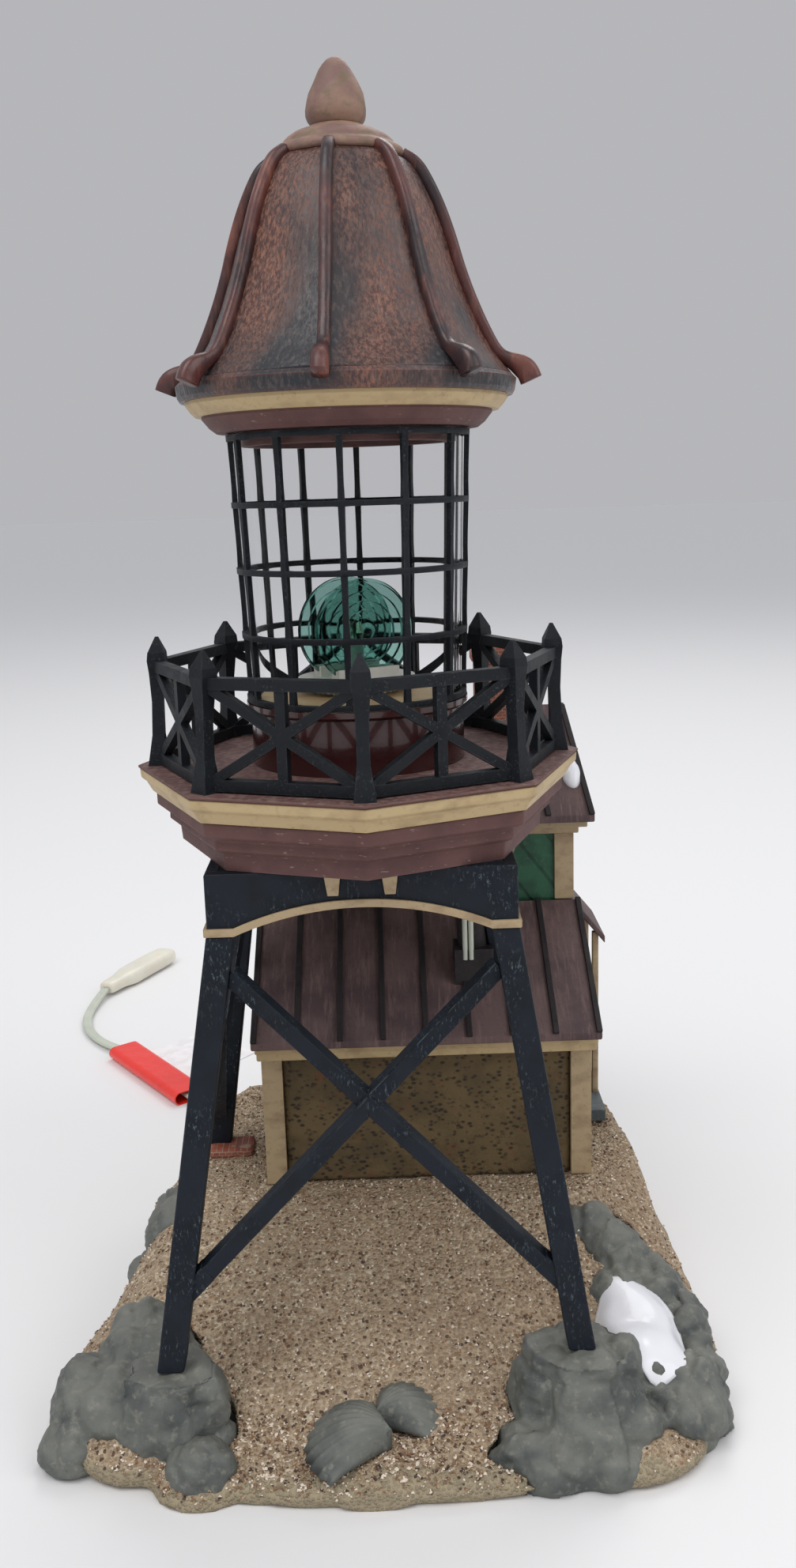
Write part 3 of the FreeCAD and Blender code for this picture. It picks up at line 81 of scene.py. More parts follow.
FULL_TURN = 2 * math.pi
UP = Vector((0, 0, 1))
DOWN = Vector((0, 0, -1))
EVEN = (1, 1, 1)  # noise as wide as it is tall


# ---------------------------------------------------------------- colours and paint

def rgb(red, green, blue):
    """An 8-bit screen colour as the linear colour that a shader takes."""
    def channel(value):
        value /= 255
        return value / 12.92 if value <= 0.04045 else ((value + 0.055) / 1.055) ** 2.4
    return (channel(red), channel(green), channel(blue), 1.0)


class Paint:
    """One material: a base colour with layers over it, in the piece's own coordinates.

    A mask is a value from 0 to 1 over the surface, or a plain number.
    """

    def __init__(self, name, colour, roughness, **sockets):
        self.material = bpy.data.materials.new(name)
        self.material.use_nodes = True
        self.nodes = self.material.node_tree.nodes
        self.links = self.material.node_tree.links
        self.shader = self.nodes["Principled BSDF"]
        self.place = self.nodes.new("ShaderNodeTexCoord").outputs["Object"]
        self.layered = colour
        self.normal = None
        self.shader.inputs["Base Color"].default_value = colour
        self.shader.inputs["Roughness"].default_value = roughness
        for socket, value in sockets.items():
            self.shader.inputs[socket.replace("_", " ")].default_value = value
        self.material.diffuse_color = colour

    def put(self, socket, value):
        """Links an output to the socket, or sets the socket to a number or colour."""
        if hasattr(value, "is_linked"):
            self.links.new(value, socket)
        else:
            socket.default_value = value

    def stretched(self, stretch):
        if stretch == EVEN:
            return self.place
        node = self.nodes.new("ShaderNodeMapping")
        node.inputs["Scale"].default_value = stretch
        self.links.new(self.place, node.inputs["Vector"])
        return node.outputs["Vector"]

    def noise(self, scale, stretch=EVEN, detail=4.0, rough=0.55):
        """Clouds whose features are about 1/scale metres across."""
        node = self.nodes.new("ShaderNodeTexNoise")
        self.links.new(self.stretched(stretch), node.inputs["Vector"])
        node.inputs["Scale"].default_value = scale
        node.inputs["Detail"].default_value = detail
        node.inputs["Roughness"].default_value = rough
        return node.outputs["Fac"]

    def cells(self, scale, output="Distance", stretch=EVEN):
        """Round cells about 1/scale metres across."""
        node = self.nodes.new("ShaderNodeTexVoronoi")
        self.links.new(self.stretched(stretch), node.inputs["Vector"])
        node.inputs["Scale"].default_value = scale
        return node.outputs[output]

    def spread(self, value, low, high, start=0.0, end=1.0):
        """value from low..high to start..end, held at the ends."""
        node = self.nodes.new("ShaderNodeMapRange")
        self.put(node.inputs["Value"], value)
        node.inputs["From Min"].default_value = low
        node.inputs["From Max"].default_value = high
        node.inputs["To Min"].default_value = start
        node.inputs["To Max"].default_value = end
        return node.outputs["Result"]

    def mottle(self, low, high, *pattern):
        """A mask that covers the clouds of noise(*pattern) from low on, and fully above high."""
        return self.spread(self.noise(*pattern), low, high)

    def reckoned(self, operation, first, second, clamped):
        node = self.nodes.new("ShaderNodeMath")
        node.operation = operation
        node.use_clamp = clamped
        self.put(node.inputs[0], first)
        self.put(node.inputs[1], second)
        return node.outputs["Value"]

    def both(self, first, second):
        """A mask where both masks are, by their product."""
        return self.reckoned("MULTIPLY", first, second, True)

    def less(self, first, second):
        return self.reckoned("SUBTRACT", first, second, False)

    def surface_normal(self):
        return self.nodes.new("ShaderNodeNewGeometry").outputs["Normal"]

    def part_of(self, vector, axis):
        split = self.nodes.new("ShaderNodeSeparateXYZ")
        self.links.new(vector, split.inputs[0])
        return split.outputs[axis]

    def worn_edge(self, width):
        """A mask on edges within width metres, and not on flat faces."""
        flat, sharp = 0.98, 0.75  # cosines between a face's normal and the rounded one
        bevel = self.nodes.new("ShaderNodeBevel")
        bevel.samples = 4
        bevel.inputs["Radius"].default_value = width
        dot = self.nodes.new("ShaderNodeVectorMath")
        dot.operation = "DOT_PRODUCT"
        self.links.new(bevel.outputs["Normal"], dot.inputs[0])
        self.links.new(self.surface_normal(), dot.inputs[1])
        return self.spread(dot.outputs["Value"], flat, sharp)

    def facing_up(self, low, high):
        """A mask by how much a face looks up, where 1 is level."""
        return self.spread(self.part_of(self.surface_normal(), "Z"), low, high)

    def height(self, low, high):
        """0 at the level low and 1 at the level high, in metres of the piece."""
        return self.spread(self.part_of(self.place, "Z"), low, high)

    def cover(self, mask, colour, share=None):
        """Lays a colour over the paint so far where the mask is, or that share of it."""
        if share is not None:
            mask = self.both(mask, share)
        node = self.nodes.new("ShaderNodeMix")
        node.data_type = "RGBA"
        self.put(node.inputs["Factor"], mask)
        self.put(node.inputs[6], self.layered)
        self.put(node.inputs[7], colour)
        self.layered = node.outputs[2]

    def bump(self, value, depth):
        """Relief of depth metres."""
        node = self.nodes.new("ShaderNodeBump")
        node.inputs["Strength"].default_value = 1.0
        node.inputs["Distance"].default_value = depth
        self.links.new(value, node.inputs["Height"])
        self.normal = node.outputs["Normal"]

    def gloss(self, mask, low, high):
        """Roughness from low to high as the mask goes from 0 to 1."""
        self.links.new(self.spread(mask, 0, 1, low, high), self.shader.inputs["Roughness"])

    def done(self):
        self.put(self.shader.inputs["Base Color"], self.layered)
        if self.normal is not None:
            self.links.new(self.normal, self.shader.inputs["Normal"])
        return self.material


def brushed_paint(name, base, shadow, highlight, wear=0.6, stretch=EVEN):
    """Painted resin: a base mottled with a darker tone, and a pale dry brush in strokes and on the edges.
    """
    roughness = 0.6
    paint = Paint(name, base, roughness, Specular_IOR_Level=0.28)
    paint.cover(paint.mottle(0.42, 0.68, 140), shadow)
    strokes = paint.mottle(0.56, 0.68, 1620, stretch, 6, 0.7)
    patches = paint.mottle(0.45, 0.62, 90)
    paint.cover(paint.both(strokes, patches), highlight, 0.55)
    edges = paint.both(paint.worn_edge(0.5 * MM), paint.mottle(0.42, 0.6, 340))
    paint.cover(edges, highlight, wear)
    paint.bump(paint.noise(900, stretch, 5), 0.12 * MM)
    paint.gloss(patches, roughness - 0.08, roughness + 0.1)
    return paint.done()


def slate_and_copper():
    """Dark slate under streaks of worn copper and dust."""
    paint = Paint("dome_slate", rgb(50, 44, 46), 0.42)
    paint.cover(paint.mottle(0.4, 0.62, 60), rgb(33, 35, 41))
    streaks = paint.mottle(0.46, 0.6, 1400, (1, 1, 0.3), 6, 0.75)
    broad = paint.mottle(0.44, 0.64, 34, (1, 1, 0.55), 2)
    paint.cover(broad, rgb(92, 54, 44), 0.6)
    paint.cover(paint.both(streaks, broad), rgb(156, 106, 84), 0.75)
    paint.cover(paint.mottle(0.5, 0.66, 900, (1, 1, 0.3), 6, 0.7), rgb(118, 100, 92), 0.42)
    paint.cover(paint.worn_edge(1.1 * MM), rgb(146, 74, 56), 0.5)
    paint.bump(paint.noise(420, (1, 1, 0.2), 6), 0.2 * MM)
    paint.gloss(streaks, 0.32, 0.6)
    return paint.done()


def copper_rib():
    paint = Paint("rib_copper", rgb(86, 48, 44), 0.34)
    paint.cover(paint.mottle(0.44, 0.6, 70, (1, 1, 0.6)), rgb(46, 32, 34))
    # Lighter copper in long patches down the ribs: partly the copper's own uneven tone, partly painted
    # highlights.
    paint.cover(paint.mottle(0.56, 0.68, 90, (1, 1, 0.5)), rgb(150, 88, 70), 0.6)
    paint.cover(paint.mottle(0.55, 0.7, 500, (1, 1, 0.2)), rgb(140, 90, 74), 0.4)
    paint.bump(paint.noise(500, (1, 1, 0.3), 5), 0.15 * MM)
    paint.gloss(paint.mottle(0.4, 0.65, 150), 0.26, 0.5)
    return paint.done()


def cap_tan():
    paint = Paint("cap_tan", rgb(146, 116, 98), 0.6)
    paint.cover(paint.mottle(0.42, 0.62, 120), rgb(122, 92, 84))
    paint.cover(paint.mottle(0.52, 0.66, 300, EVEN, 6), rgb(106, 96, 66), 0.6)
    paint.cover(paint.worn_edge(1.2 * MM), rgb(176, 146, 122), 0.5)
    paint.bump(paint.noise(600, EVEN, 5), 0.2 * MM)
    return paint.done()


def cream_paint(name, base, stain):
    paint = Paint(name, base, 0.55)
    paint.cover(paint.mottle(0.48, 0.7, 120, (1, 1, 2)), stain, 0.7)
    paint.cover(paint.mottle(0.58, 0.7, 700, EVEN, 6), stain, 0.5)
    paint.bump(paint.noise(800, EVEN, 5), 0.1 * MM)
    return paint.done()


def dusty_deck():
    """Brown paint with dust on its level faces and pale specks along its edges."""
    paint = Paint("gallery_brown", rgb(98, 66, 62), 0.72)
    paint.cover(paint.mottle(0.42, 0.64, 90), rgb(84, 54, 52))
    dust = paint.mottle(0.44, 0.62, 500, EVEN, 6, 0.65)
    paint.cover(paint.both(dust, paint.facing_up(0.5, 0.9)), rgb(126, 104, 96), 0.75)
    paint.cover(paint.mottle(0.66, 0.72, 1500, (0.3, 0.3, 1), 3), rgb(158, 138, 128), 0.5)
    paint.cover(paint.worn_edge(0.8 * MM), rgb(132, 98, 88), 0.35)
    paint.bump(paint.noise(900, EVEN, 5), 0.16 * MM)
    return paint.done()


def stucco():
    """Brown plaster with painted shade in dark spots for its pits, and rusty stains."""
    paint = Paint("stucco", rgb(104, 86, 56), 0.8)
    paint.cover(paint.mottle(0.42, 0.62, 70), rgb(84, 70, 46))
    # Painted shade: near-black spots stand for the shade in the plaster's pits.
    pits = paint.spread(paint.cells(520, "Distance", (1, 1, 1.5)), 0.5, 0.25)
    broken = paint.mottle(0.42, 0.52, 260, EVEN, 4)
    paint.cover(paint.both(pits, broken), rgb(40, 30, 22), 0.9)
    paint.cover(paint.mottle(0.6, 0.72, 160, (1, 1, 1.6), 5), rgb(112, 62, 40), 0.6)
    paint.bump(paint.noise(420, EVEN, 5), 0.5 * MM)
    return paint.done()


def brown_roof():
    """Faded brown, brushed down the slope."""
    paint = Paint("roof_brown", rgb(102, 80, 78), 0.66)
    paint.cover(paint.mottle(0.42, 0.62, 55), rgb(78, 58, 60))
    paint.cover(paint.mottle(0.5, 0.68, 260, (3.2, 0.35, 0.35), 6, 0.7), rgb(132, 108, 102), 0.6)
    paint.cover(paint.mottle(0.56, 0.7, 1300, (1, 0.4, 0.4), 3), rgb(58, 44, 46), 0.35)
    paint.bump(paint.noise(1100, EVEN, 5), 0.14 * MM)
    return paint.done()


def green_boards():
    paint = Paint("boards_green", rgb(34, 92, 62), 0.5)
    paint.cover(paint.mottle(0.45, 0.62, 120), rgb(22, 70, 48))
    paint.cover(paint.mottle(0.56, 0.68, 500, EVEN, 6), rgb(58, 116, 84), 0.35)
    paint.bump(paint.noise(700, EVEN, 5), 0.12 * MM)
    return paint.done()


def glued_sand():
    """Grains of several stone colours, and bare dull glue on the low sides and the front face."""
    glue = rgb(160, 146, 120)
    grain = 1250  # grains a metre
    paint = Paint("sand", rgb(180, 160, 134), 0.85)
    shade = paint.nodes.new("ShaderNodeSeparateColor")
    paint.links.new(paint.cells(grain, "Color"), shade.inputs[0])
    red, green, blue = (shade.outputs[name] for name in ("Red", "Green", "Blue"))
    paint.cover(paint.spread(red, 0.15, 0.95), rgb(156, 134, 108))
    paint.cover(paint.spread(green, 0.91, 0.94), rgb(98, 78, 62))
    paint.cover(paint.spread(blue, 0.84, 0.9), rgb(206, 190, 164))
    paint.cover(paint.spread(paint.both(red, blue), 0.72, 0.8), rgb(152, 116, 86))
    paint.cover(paint.mottle(0.4, 0.66, 26), rgb(138, 112, 88), 0.35)
    paint.bump(paint.spread(paint.cells(grain), 0.0, 0.62, 1.0, 0.0), 0.6 * MM)
    paint.cover(paint.both(paint.facing_up(0.62, 0.5), paint.height(12 * MM, 9 * MM)), glue)
    ragged = paint.spread(paint.noise(160), 0.3, 0.7, -2.2 * MM, 2.2 * MM)
    edge = paint.less(paint.part_of(paint.place, "Y"), ragged)
    paint.cover(paint.spread(edge, -67.2 * MM, -68.2 * MM), glue)
    return paint.done()


def loose_grain():
    """Each loose grain takes one of several stone colours by where it lies."""
    paint = Paint("grain", rgb(170, 146, 118), 0.6)
    shade = paint.nodes.new("ShaderNodeSeparateColor")
    paint.links.new(paint.cells(900, "Color"), shade.inputs[0])
    paint.cover(paint.spread(shade.outputs["Red"], 0.5, 0.55), rgb(132, 100, 74))
    paint.cover(paint.spread(shade.outputs["Green"], 0.78, 0.8), rgb(72, 54, 46))
    paint.cover(paint.spread(shade.outputs["Blue"], 0.72, 0.76), rgb(226, 212, 194))
    return paint.done()


def painted_rock(name, base, dark, light):
    paint = Paint(name, base, 0.62)
    paint.cover(paint.mottle(0.42, 0.62, 80, EVEN, 5), dark)
    paint.cover(paint.mottle(0.54, 0.68, 420, EVEN, 6, 0.65), light, 0.55)
    # Painted light: every upward face is laid a quarter of the way towards the pale colour, as if lit from
    # above.
    paint.cover(paint.facing_up(0.55, 0.98), light, 0.25)
    paint.bump(paint.noise(260, EVEN, 6), 0.6 * MM)
    return paint.done()


def plain(name, colour, roughness, grain, depth, **sockets):
    """A finish of nearly one colour, with a fine mottle and relief of depth mm."""
    paint = Paint(name, colour, roughness, **sockets)
    darker = tuple(value * 0.8 for value in colour[:3]) + (1.0,)
    paint.cover(paint.mottle(0.42, 0.64, grain * 0.2), darker, 0.5)
    paint.bump(paint.noise(grain, EVEN, 4), depth * MM)
    return paint.done()


def brick():
    paint = Paint("brick_red", rgb(150, 84, 66), 0.75)
    wall = paint.nodes.new("ShaderNodeTexBrick")
    turned = paint.nodes.new("ShaderNodeMapping")
    turned.inputs["Rotation"].default_value = (math.radians(90), 0, 0)
    paint.links.new(paint.place, turned.inputs["Vector"])
    paint.links.new(turned.outputs["Vector"], wall.inputs["Vector"])
    for socket, value in (("Scale", 260), ("Mortar Size", 0.03), ("Color1", rgb(156, 84, 62)),
                          ("Color2", rgb(126, 66, 54)), ("Mortar", rgb(150, 128, 108))):
        wall.inputs[socket].default_value = value
    paint.layered = wall.outputs["Color"]
    paint.cover(paint.mottle(0.5, 0.66, 300, EVEN, 5), rgb(98, 60, 52), 0.5)
    paint.bump(paint.noise(500, EVEN, 5), 0.3 * MM)
    return paint.done()


def clear(name, colour, roughness, ior, grain, depth):
    """A clear moulding with slight ripples of depth mm."""
    paint = Paint(name, colour, roughness, Transmission_Weight=1.0, IOR=ior)
    paint.bump(paint.noise(grain, (1, 1, 0.3), 2), depth * MM)
    return paint.done()


finishes = {
    "dome_slate": slate_and_copper(),
    "rib_copper": copper_rib(),
    "cap_tan": cap_tan(),
    "cream": cream_paint("cream", rgb(188, 164, 122), rgb(150, 124, 90)),
    "trim_tan": cream_paint("trim_tan", rgb(174, 152, 118), rgb(132, 108, 80)),
    "gallery_brown": dusty_deck(),
    "railing_black": brushed_paint("railing_black", rgb(17, 22, 28), rgb(10, 14, 19),
                                   rgb(96, 98, 100), 0.3),
    "tower_navy": brushed_paint("tower_navy", rgb(17, 25, 35), rgb(11, 17, 25),
                                rgb(112, 126, 130), 0.7, (1, 1, 0.4)),
    "drum_maroon": plain("drum_maroon", rgb(62, 26, 26), 0.22, 300, 0.1, Coat_Weight=0.5),
    "roof_brown": brown_roof(),
    "seam_black": brushed_paint("seam_black", rgb(44, 38, 40), rgb(30, 28, 30), rgb(98, 84, 82)),
    "stucco": stucco(),
    "boards_green": green_boards(),
    "brick_red": brick(),
    "step_grey": painted_rock("step_grey", rgb(96, 104, 106), rgb(80, 88, 90), rgb(120, 126, 126)),
    "sand": glued_sand(),
    "rock_grey": painted_rock("rock_grey", rgb(104, 106, 100), rgb(74, 78, 76), rgb(140, 138, 126)),
    "grain": loose_grain(),
    "snow_white": plain("snow_white", rgb(236, 236, 240), 0.3, 120, 0.3, Coat_Weight=0.4),
    "clear_panes": clear("clear_panes", (1, 1, 1, 1), 0.03, 1.08, 60, 0.04),
    "lens_teal": clear("lens_teal", rgb(150, 190, 182), 0.12, 1.08, 240, 0.05),
    "lamp_glass": clear("lamp_glass", rgb(255, 244, 220), 0.05, 1.3, 200, 0.1),
    "gear_nylon": plain("gear_nylon", rgb(214, 212, 202), 0.4, 500, 0.05),
    "motor_steel": plain("motor_steel", rgb(170, 172, 176), 0.32, 700, 0.05, Metallic=1.0),
    "grommet_rubber": plain("grommet_rubber", rgb(46, 46, 46), 0.7, 900, 0.1),
    "lead_white": plain("lead_white", rgb(196, 200, 184), 0.4, 500, 0.1),
    "connector_nylon": plain("connector_nylon", rgb(226, 222, 206), 0.3, 300, 0.1,
                             Subsurface_Weight=0.4, Subsurface_Scale=0.003),
    "sleeve_red": plain("sleeve_red", rgb(238, 52, 40), 0.25, 200, 0.3),
    "tag_white": plain("tag_white", rgb(240, 236, 236), 0.55, 900, 0.05),
}

for node, slot in slots.items():
    nodes[node].data.materials.clear()
    nodes[node].data.materials.append(finishes[slot])


# ---------------------------------------------------------------- making and placing pieces

def linked(name, data):
    """A new object in the scene."""
    thing = bpy.data.objects.new(name, data)
    bpy.context.scene.collection.objects.link(thing)
    return thing


def add(name, body, slot, verts, faces, smooth=True):
    """A new piece from points in metres and faces, riding on a body."""
    mesh = bpy.data.meshes.new(name)
    mesh.from_pydata(verts, [], faces)
    mesh.update()
    fixed = bmesh.new()
    fixed.from_mesh(mesh)
    bmesh.ops.recalc_face_normals(fixed, faces=fixed.faces)
    fixed.to_mesh(mesh)
    fixed.free()
    if smooth:
        mesh.shade_smooth()
    piece = linked(name, mesh)
    mesh.materials.append(finishes[slot])
    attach(piece, body)
    # The record has no slot for the white patches, so they are declared as sand.
    return piece


def apply_modifiers(piece):
    """Fixes the piece's modifiers into its mesh."""
    graph = bpy.context.evaluated_depsgraph_get()
    graph.update()
    mesh = bpy.data.meshes.new_from_object(piece.evaluated_get(graph))
    piece.modifiers.clear()
    piece.data = mesh


def modified(piece, kind, name, **settings):
    """Puts a modifier with these settings on the piece."""
    modifier = piece.modifiers.new(name, kind)
    for setting, value in settings.items():
        setattr(modifier, setting, value)


def rounded_edges(piece, width, segments, **settings):
    modified(piece, "BEVEL", "soft_edges", width=width, segments=segments, **settings)


def copied(node, name):
    """A copy of a CAD node's shape, under a new name, that stands for it."""
    source = nodes[node]
    mesh = source.data.copy()
    mesh.name = name
    piece = linked(name, mesh)
    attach(piece, source["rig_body"])
    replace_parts(piece, node)
    return piece


def remeshed(piece, voxel):
    """Melts the piece's edges into an even skin of small faces."""
    modified(piece, "REMESH", "skin", mode="VOXEL", voxel_size=voxel, use_smooth_shade=True)
    finish = piece.data.materials[0]
    apply_modifiers(piece)
    piece.data.materials.clear()
    piece.data.materials.append(finish)
    for polygon in piece.data.polygons:
        polygon.material_index = 0


def moved(piece, shape):
    """Moves each vertex along its normal by shape(point, normal) metres."""
    mesh = piece.data
    normals = [vertex.normal.copy() for vertex in mesh.vertices]
    for vertex, normal in zip(mesh.vertices, normals):
        vertex.co += normal * shape(vertex.co, normal)
    mesh.update()


def clouds(point, size, octaves=3):
    """Smooth noise, about -1 to 1, whose features are size metres across."""
    return noise.fractal(point / size, 1.0, 2.0, octaves)


def smooth_step(value, low, high):
    """0 below low and 1 above high, with a smooth slope between them."""
    share = min(max((value - low) / (high - low), 0.0), 1.0)
    return share * share * (3 - 2 * share)


def turns(count):
    """Evenly spaced angles round a full turn."""
    return [FULL_TURN * k / count for k in range(count)]


def squared_off(value, power):
    """A sine or cosine bent so that a round outline grows flatter sides, the more the lower power is."""
    return math.copysign(abs(value) ** power, value)


def ring_faces(rings, count, first=0, capped=True):
    """Faces that join rings of count points each, from the vertex first on, with ends if capped."""
    faces = []
    for start in range(first, first + (rings - 1) * count, count):
        for k in range(count):
            after = (k + 1) % count
            faces.append((start + k, start + after, start + count + after, start + count + k))
    if capped:
        last = first + rings * count - 1
        faces.append(tuple(range(first, first + count)))
        faces.append(tuple(range(last, last - count, -1)))
    return faces


# ---------------------------------------------------------------- the cord and what is on it

CORD_POINTS = [
    (-47.2, 105.7, 3.9), (-52, 118.5, 2.2), (-61, 131, 1.5), (-71, 145, 2.6), (-84, 161.5, 2.6),
    (-95, 179.5, 2.6), (-108, 195, 2.6), (-121.5, 208, 1.7), (-131, 225, 1.5), (-134, 246, 1.7),
    (-130, 267, 4.0),
]
CORD_WIDTH = 4.2 * MM
CORD_THICKNESS = 2.3 * MM
CONNECTOR_LINE = [(-130, 267, 4), (-124.5, 278.5, 4), (-115, 298.5, 4), (-107.0, 314.4, 4)]
CONNECTOR_LEVEL = 4.1
# Share of the line, width and height in mm: a stub, a step up, the housing and its nose.
CONNECTOR_SIZES = [(0.0, 7.0, 5.0), (0.03, 8.2, 6.0), (0.2, 8.8, 6.4), (0.3, 11.4, 7.6), (0.34, 12.4, 8.0),
                   (0.8, 12.6, 8.0), (0.93, 11.8, 7.4), (0.98, 9.6, 6.0), (1.0, 6.0, 3.6)]


def route_line(points):
    """The points along the NURBS spline whose control points are the route's."""
    curve = bpy.data.curves.new("route", "CURVE")
    curve.dimensions = "3D"
    spline = curve.splines.new("NURBS")
    spline.points.add(len(points) - 1)
    for place, point in zip(spline.points, points):
        place.co = (point[0] * MM, point[1] * MM, point[2] * MM, 1)
    spline.order_u = 3
    spline.use_endpoint_u = True
    spline.resolution_u = 12
    holder = bpy.data.objects.new("route", curve)
    line = bpy.data.meshes.new_from_object(holder)
    path = [vertex.co.copy() for vertex in line.vertices]
    bpy.data.objects.remove(holder)
    bpy.data.meshes.remove(line)
    bpy.data.curves.remove(curve)
    return path


def along(path, share):
    """The point and the direction at a share of the path's length."""
    steps = [(b - a).length for a, b in zip(path, path[1:])]
    target = share * sum(steps)
    for (a, b), step in zip(zip(path, path[1:]), steps):
        if target <= step or b is path[-1]:
            return a.lerp(b, min(target / step, 1)), (b - a).normalized()
        target -= step


def swept(path, outline):
    """Points and faces of an outline of (across, up) offsets carried along a path."""
    verts = []
    for index, point in enumerate(path):
        before = path[max(index - 1, 0)]
        after = path[min(index + 1, len(path) - 1)]
        forward = (after - before).normalized()
        across = forward.cross(UP).normalized()
        up = across.cross(forward)
        verts += [point + across * a + up * u for a, u in outline]
    return verts, ring_faces(len(path), len(outline))


def twin_outline(width, thickness):
    """A flat two-core lead: two rounds side by side with a shallow groove between them."""
    groove = 0.38  # its depth as a share of half the thickness
    points = []
    for turn in turns(20):
        across = math.cos(turn)
        up = math.sin(turn) * (1 - groove + groove * min(1.0, abs(across) * 1.9))
        points.append((across * width / 2, up * thickness / 2))
    return points


def connector_body(name, path, sizes):
    """A flat rounded moulding along a path; sizes are (share, width, height) in mm."""
    between, count = 4, 24
    stations = []
    for here, ahead in zip(sizes, sizes[1:]):
        for step in range(between):
            t = step / between
            stations.append([a + (b - a) * t for a, b in zip(here, ahead)])
    stations.append(sizes[-1])
    verts = []
    for share, wide, tall in stations:
        point, forward = along(path, share)
        across = forward.cross(UP).normalized()
        for turn in turns(count):
            side = squared_off(math.cos(turn), 0.7) * wide / 2
            rise = squared_off(math.sin(turn), 0.7) * tall / 2
            place = point + across * side * MM
            place.z = max(CONNECTOR_LEVEL + rise, 0.05) * MM
            verts.append(place)
    return add(name, "base", "connector_nylon", verts, ring_faces(len(stations), count))


route = route_line(CORD_POINTS)
lead = add("lead_twin", "base", "lead_white", *swept(route, twin_outline(CORD_WIDTH, CORD_THICKNESS)))
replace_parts(lead, "cord")
connector = connector_body("connector", [Vector(point) * MM for point in CONNECTOR_LINE], CONNECTOR_SIZES)
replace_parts(connector, "cord_connector")


# ---------------------------------------------------------------- softened castings

# Width of the rounded edge in mm, and the CAD nodes that have it.
SOFT_EDGES = {
    0.5: ("leg_front_left", "leg_front_right", "leg_rear_left", "leg_rear_right", "gallery_moulding"),
    0.4: ("apron_front", "apron_back", "apron_sides", "rail_bays", "gallery_floor",
          "gallery_cream_band", "upper_fascia", "lower_fascia", "corner_posts", "lower_roof",
          "upper_roof"),
    0.3: ("front_braces", "left_braces", "rail_posts", "corbels", "chimney", "side_step"),
    0.25: ("lower_roof_seams", "upper_roof_seams"),
    0.2: ("arch_trims", "lantern_cage"),
}
CAGE_SLIMMER = 0.28 * MM
SHARP = math.radians(32)  # edges that turn by more than this are rounded


def softened(node, width, slimmer=0.0):
    """Rounds a CAD node's sharp edges by width metres, as in a painted casting, and slims it."""
    piece = nodes[node]
    modified(piece, "WELD", "weld", merge_threshold=0.01 * MM)
    if slimmer:
        modified(piece, "DISPLACE", "slim", strength=-slimmer, mid_level=0.0)
    rounded_edges(piece, width, 2, limit_method="ANGLE", angle_limit=SHARP, harden_normals=True)


for width, names in SOFT_EDGES.items():
    for node in names:
        softened(node, width * MM, CAGE_SLIMMER if node == "lantern_cage" else 0.0)


# ---------------------------------------------------------------- ends of the front braces

BRACE_HALF = 2.3 * MM
BRACE_END = 6 * MM  # height of the part of a brace that counts as its end
FOOT_REACH = (-4, 6)  # mm along the brace, from the middle of its end


def brace_feet(node, name):
    """Carries the lower end of each of two crossed braces on into its leg."""
    points = [vertex.co.copy() for vertex in nodes[node].data.vertices]
    middle = (max(p.x for p in points) + min(p.x for p in points)) / 2
    across = Vector((0, 1, 0))
    verts, faces = [], []
    for side in (-1, 1):
        near = [p for p in points if (p.x - middle) * side > 0]
        far = [p for p in points if (p.x - middle) * side < 0]
        lowest = min(p.z for p in near)
        top = max(p.z for p in far)
        foot = [p for p in near if p.z < lowest + BRACE_END]
        head = [p for p in far if p.z > top - BRACE_END]
        start = sum(foot, Vector()) / len(foot)
        direction = (start - sum(head, Vector()) / len(head)).normalized()
        up = direction.cross(across).normalized()
        first = len(verts)
        for reach in FOOT_REACH:
            for a, u in ((-1, -1), (1, -1), (1, 1), (-1, 1)):
                verts.append(start + direction * reach * MM + (across * a + up * u) * BRACE_HALF)
        faces += [(first, first + 1, first + 2, first + 3), (first + 7, first + 6, first + 5, first + 4)]
        for k in range(4):
            j = (k + 1) % 4
            faces.append((first + k, first + 4 + k, first + 4 + j, first + j))
    rounded_edges(add(name, "base", "tower_navy", verts, faces, smooth=False), 0.3 * MM, 2)


brace_feet("front_braces", "brace_feet_front")


# ---------------------------------------------------------------- ground, rocks and what lies on them

# Bosses are flattened balls, as (centre, half sizes) in mm. They join what is under them.
SAND_BOSSES = [((-1, -57, 2.5), (17, 20, 5.5)), ((60, -48, 3), (24, 24, 7)), ((-60, -40, 4), (20, 26, 9)),
               ((70, -10, 6), (16, 24, 9)), ((-43, -64, 1), (12, 9, 5))]
SAND_VOXEL = 1.5 * MM
